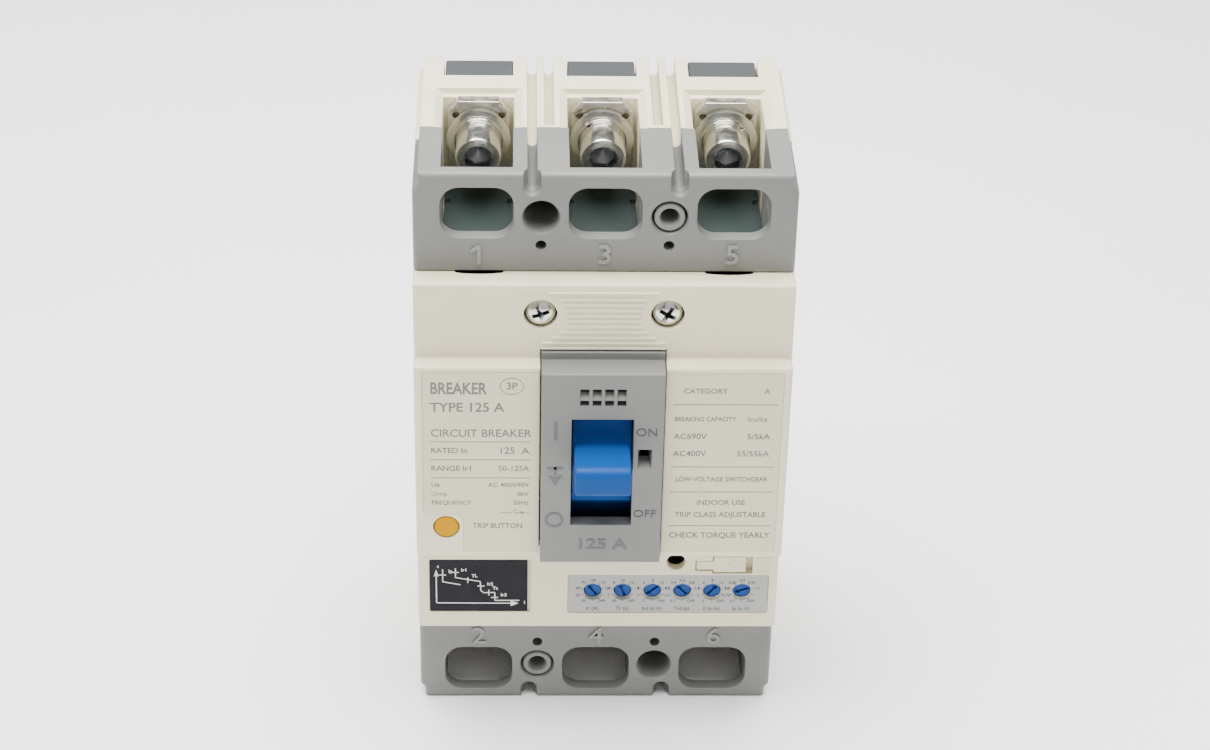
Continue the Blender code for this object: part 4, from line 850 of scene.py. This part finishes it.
def make_nameplates():
    face = PLATE_FACE - 0.1
    for side, name in ((-1, "nameplate_left"), (1, "nameplate_right")):
        plate = prism(nameplate_outline(side, 0, 2.2), "d", face - 0.35, face)
        show(plate, name + "_film", LABEL_CREAM, "breaker", name, slot="label_cream")
    marks = []
    for z in (9.7, 4.5, -0.8):
        marks += stroke([(-41.2, z), (-17.3, z)], 0.2, face)
    for z in (20.6, 2.6, -4.8, -14.9):
        marks += stroke([(16.9, z), (41.8, z)], 0.2, face)
    left, right = -41.2, -17.5
    rows = (
        ("BREAKER", left, 24.8, 3.2, "LEFT", 0.72, 0.12), ("3P", -21.7, 25.6, 1.9, "CENTER", 1.0, 0.05),
        ("TYPE 125 A", left, 19.5, 2.5, "LEFT", 1.0, 0.07),
        ("CIRCUIT BREAKER", left, 12.1, 2.15, "LEFT", 0.96, 0.04),
        ("RATED In", left, 7.1, 1.5, "LEFT", 1.0, 0.04), ("125  A", right, 7.1, 1.9, "RIGHT", 1.0, 0.04),
        ("RANGE Ir1", left, 1.9, 1.5, "LEFT", 1.0, 0.04), ("50-125A", right, 1.9, 1.5, "RIGHT", 1.0, 0.03),
        ("Ue", left, -2.9, 1.25, "LEFT", 1.0, 0.03), ("AC 400/690V", right, -2.9, 1.25, "RIGHT", 1.0, 0.03),
        ("Uimp", left, -5.6, 1.25, "LEFT", 1.0, 0.01), ("8kV", right, -5.6, 1.25, "RIGHT", 1.0, 0.03),
        ("FREQUENCY", left, -8.2, 1.2, "LEFT", 1.0, 0.03), ("50Hz", right, -8.2, 1.25, "RIGHT", 1.0, 0.03),
        ("TRIP BUTTON", -31.2, -15.1, 1.5, "LEFT", 0.9, 0.04),
        ("CATEGORY", 19.2, 24.4, 1.4, "LEFT", 1.0, 0.04), ("A", 38.4, 24.4, 1.5, "LEFT", 1.0, 0.03),
        ("BREAKING CAPACITY", 17.2, 16.4, 1.25, "LEFT", 0.85, 0.04),
        ("Icu/Ics", 34.8, 16.4, 1.3, "LEFT", 1.0, 0.03),
        ("AC690V", 17.2, 11.4, 1.6, "LEFT", 1.0, 0.04), ("5/5kA", 40.4, 11.4, 1.6, "RIGHT", 1.0, 0.04),
        ("AC400V", 17.2, 6.4, 1.6, "LEFT", 1.0, 0.04), ("55/55kA", 40.4, 6.4, 1.6, "RIGHT", 1.0, 0.04),
        ("LOW-VOLTAGE SWITCHGEAR", 29.2, -1.1, 1.3, "CENTER", 0.88, 0.04),
        ("INDOOR USE", 29.3, -8.0, 1.4, "CENTER", 1.0, 0.04),
        ("TRIP CLASS ADJUSTABLE", 29.3, -11.6, 1.5, "CENTER", 0.95, 0.04),
        ("CHECK TORQUE YEARLY", 29.3, -17.8, 1.6, "CENTER", 0.95, 0.05),
    )
    for words, x, z, height, align, wide, weight in rows:
        marks.append(letters(words, x, face, z, height, 0.02, align, wide, weight))
    for i in range(40):
        ends = [(-21.7 + 2.75 * math.cos(a), 25.6 + 2.3 * math.sin(a))
                for a in (math.tau * i / 40, math.tau * (i + 1) / 40)]
        marks += stroke(ends, 0.16, face)
    marks += stroke([(-24.4, -11.1), (-22.1, -11.1), (-20.4, -10.0)], 0.16, face)
    marks += stroke([(-20.8, -11.1), (-17.4, -11.1)], 0.16, face)
    marks += stroke([(-20.8, -10.7), (-20.8, -11.5)], 0.16, face)
    marks += stroke([(-19.6, -10.6), (-18.6, -11.6)], 0.16, face)
    marks += stroke([(-19.6, -11.6), (-18.6, -10.6)], 0.16, face)
    show(join("nameplate_marks", marks), "nameplate_marks", INK_GREY, "breaker", slot="label_cream")


def make_shutter():
    front = DIAL_FACE - 0.2
    shutter = prism(shutter_outline(0, 0), "d", front - 1.5, front)
    soften(shutter, 0.15)
    show(shutter, "test_shutter_moulding", CREAM, "shutter", "test_shutter", slot="cream_thermoset")
    arrow = stroke([(32.4, -30.6), (34.0, -31.6), (34.0, -29.6), (32.4, -30.6)], 0.2, front, 0.08)
    show(join("arrow", arrow), "shutter_arrow", CREAM, "shutter", slot="cream_thermoset")


def dress_inner_nodes():
    looks = {
        "plain_steel": STEEL, "bare_copper": COPPER, "tinned_copper": TINNED, "zinc_steel": ZINC,
        "black_plastic": BLACK, "label_black": LABEL_BLACK, "label_grey": LABEL_GREY,
        "label_cream": LABEL_CREAM, "blue_plastic": BLUE, "grey_plastic": GREY,
        "dark_grey_plastic": PLUG_GREY, "green_fibre": GREEN, "orange_plastic": ORANGE,
        "board_green": BOARD, "cream_thermoset": CREAM,
    }
    for part in frame["record"]["subparts"]:
        node = NODES[part["node"]]
        node.data.materials.clear()
        node.data.materials.append(looks[part["material_slot"]])


# ---------------------------------------------------------------- stage

def make_stage():
    floor = prism(rectangle((-3000, 3000), (-3000, 3000)), "z", BOTTOM - 5, BOTTOM)
    material, tree, shader = new_material("floor_paper", (0.98, 0.98, 0.98), 0.7)
    vary(tree, noise(tree, 12), 0.65, 0.8, shader.inputs["Roughness"])
    floor.name = "floor"
    floor.data.materials.append(material)
    world = bpy.data.worlds.new("studio")
    bpy.context.scene.world = world
    world.use_nodes = True
    background = world.node_tree.nodes["Background"]
    background.inputs["Color"].default_value = (1, 1, 1, 1)
    background.inputs["Strength"].default_value = 0.19
    lights = (
        ("top_box", (-60, -15, 800), (0, -30, 0), 0.9, 36),
        ("front_box", (250, -900, 450), (0, -40, 0), 0.9, 2),
        ("left_box", (-650, -600, 350), (0, -40, 0), 0.8, 1),
    )
    for name, place, aim, size, power in lights:
        data = bpy.data.lights.new(name, "AREA")
        data.shape = "SQUARE"
        data.size = size
        data.energy = power
        lamp = bpy.data.objects.new(name, data)
        bpy.context.scene.collection.objects.link(lamp)
        start, end = Vector(place) * MM, Vector(aim) * MM
        aim_of_lamp = (end - start).to_track_quat("-Z", "Y").to_matrix().to_4x4()
        lamp.matrix_world = Matrix.Translation(start) @ aim_of_lamp


def make_camera():
    yaw, pitch, roll = math.radians(2.083), math.radians(32.703), math.radians(1.339)
    forward = Vector((math.sin(yaw) * math.cos(pitch), math.cos(yaw) * math.cos(pitch), -math.sin(pitch)))
    level = Vector((math.cos(yaw), -math.sin(yaw), 0))
    upright = level.cross(forward)
    right = math.cos(roll) * level + math.sin(roll) * upright
    up = right.cross(forward)
    data = bpy.data.cameras.new("camera")
    data.sensor_width = 36
    data.lens = 86.34
    data.clip_start = 0.05
    data.clip_end = 20
    camera = bpy.data.objects.new("camera", data)
    bpy.context.scene.collection.objects.link(camera)
    turn = Matrix((right, up, -forward)).transposed().to_4x4()
    camera.matrix_world = Matrix.Translation(Vector((-20.678, -648.917, 400.298)) * MM) @ turn
    bpy.context.scene.camera = camera


make_base()
make_end_cover("line", (1, 3, 5))
make_end_cover("load", (2, 4, 6))
make_front_cover()
make_escutcheon()
make_handle()
make_terminal_screws()
make_terminals()
make_plugs_and_plates()
make_sleeves()
make_cover_screws()
make_button()
make_dials()
make_dial_plate()
make_curve_label()
make_nameplates()
make_shutter()
dress_inner_nodes()
make_stage()
make_camera()
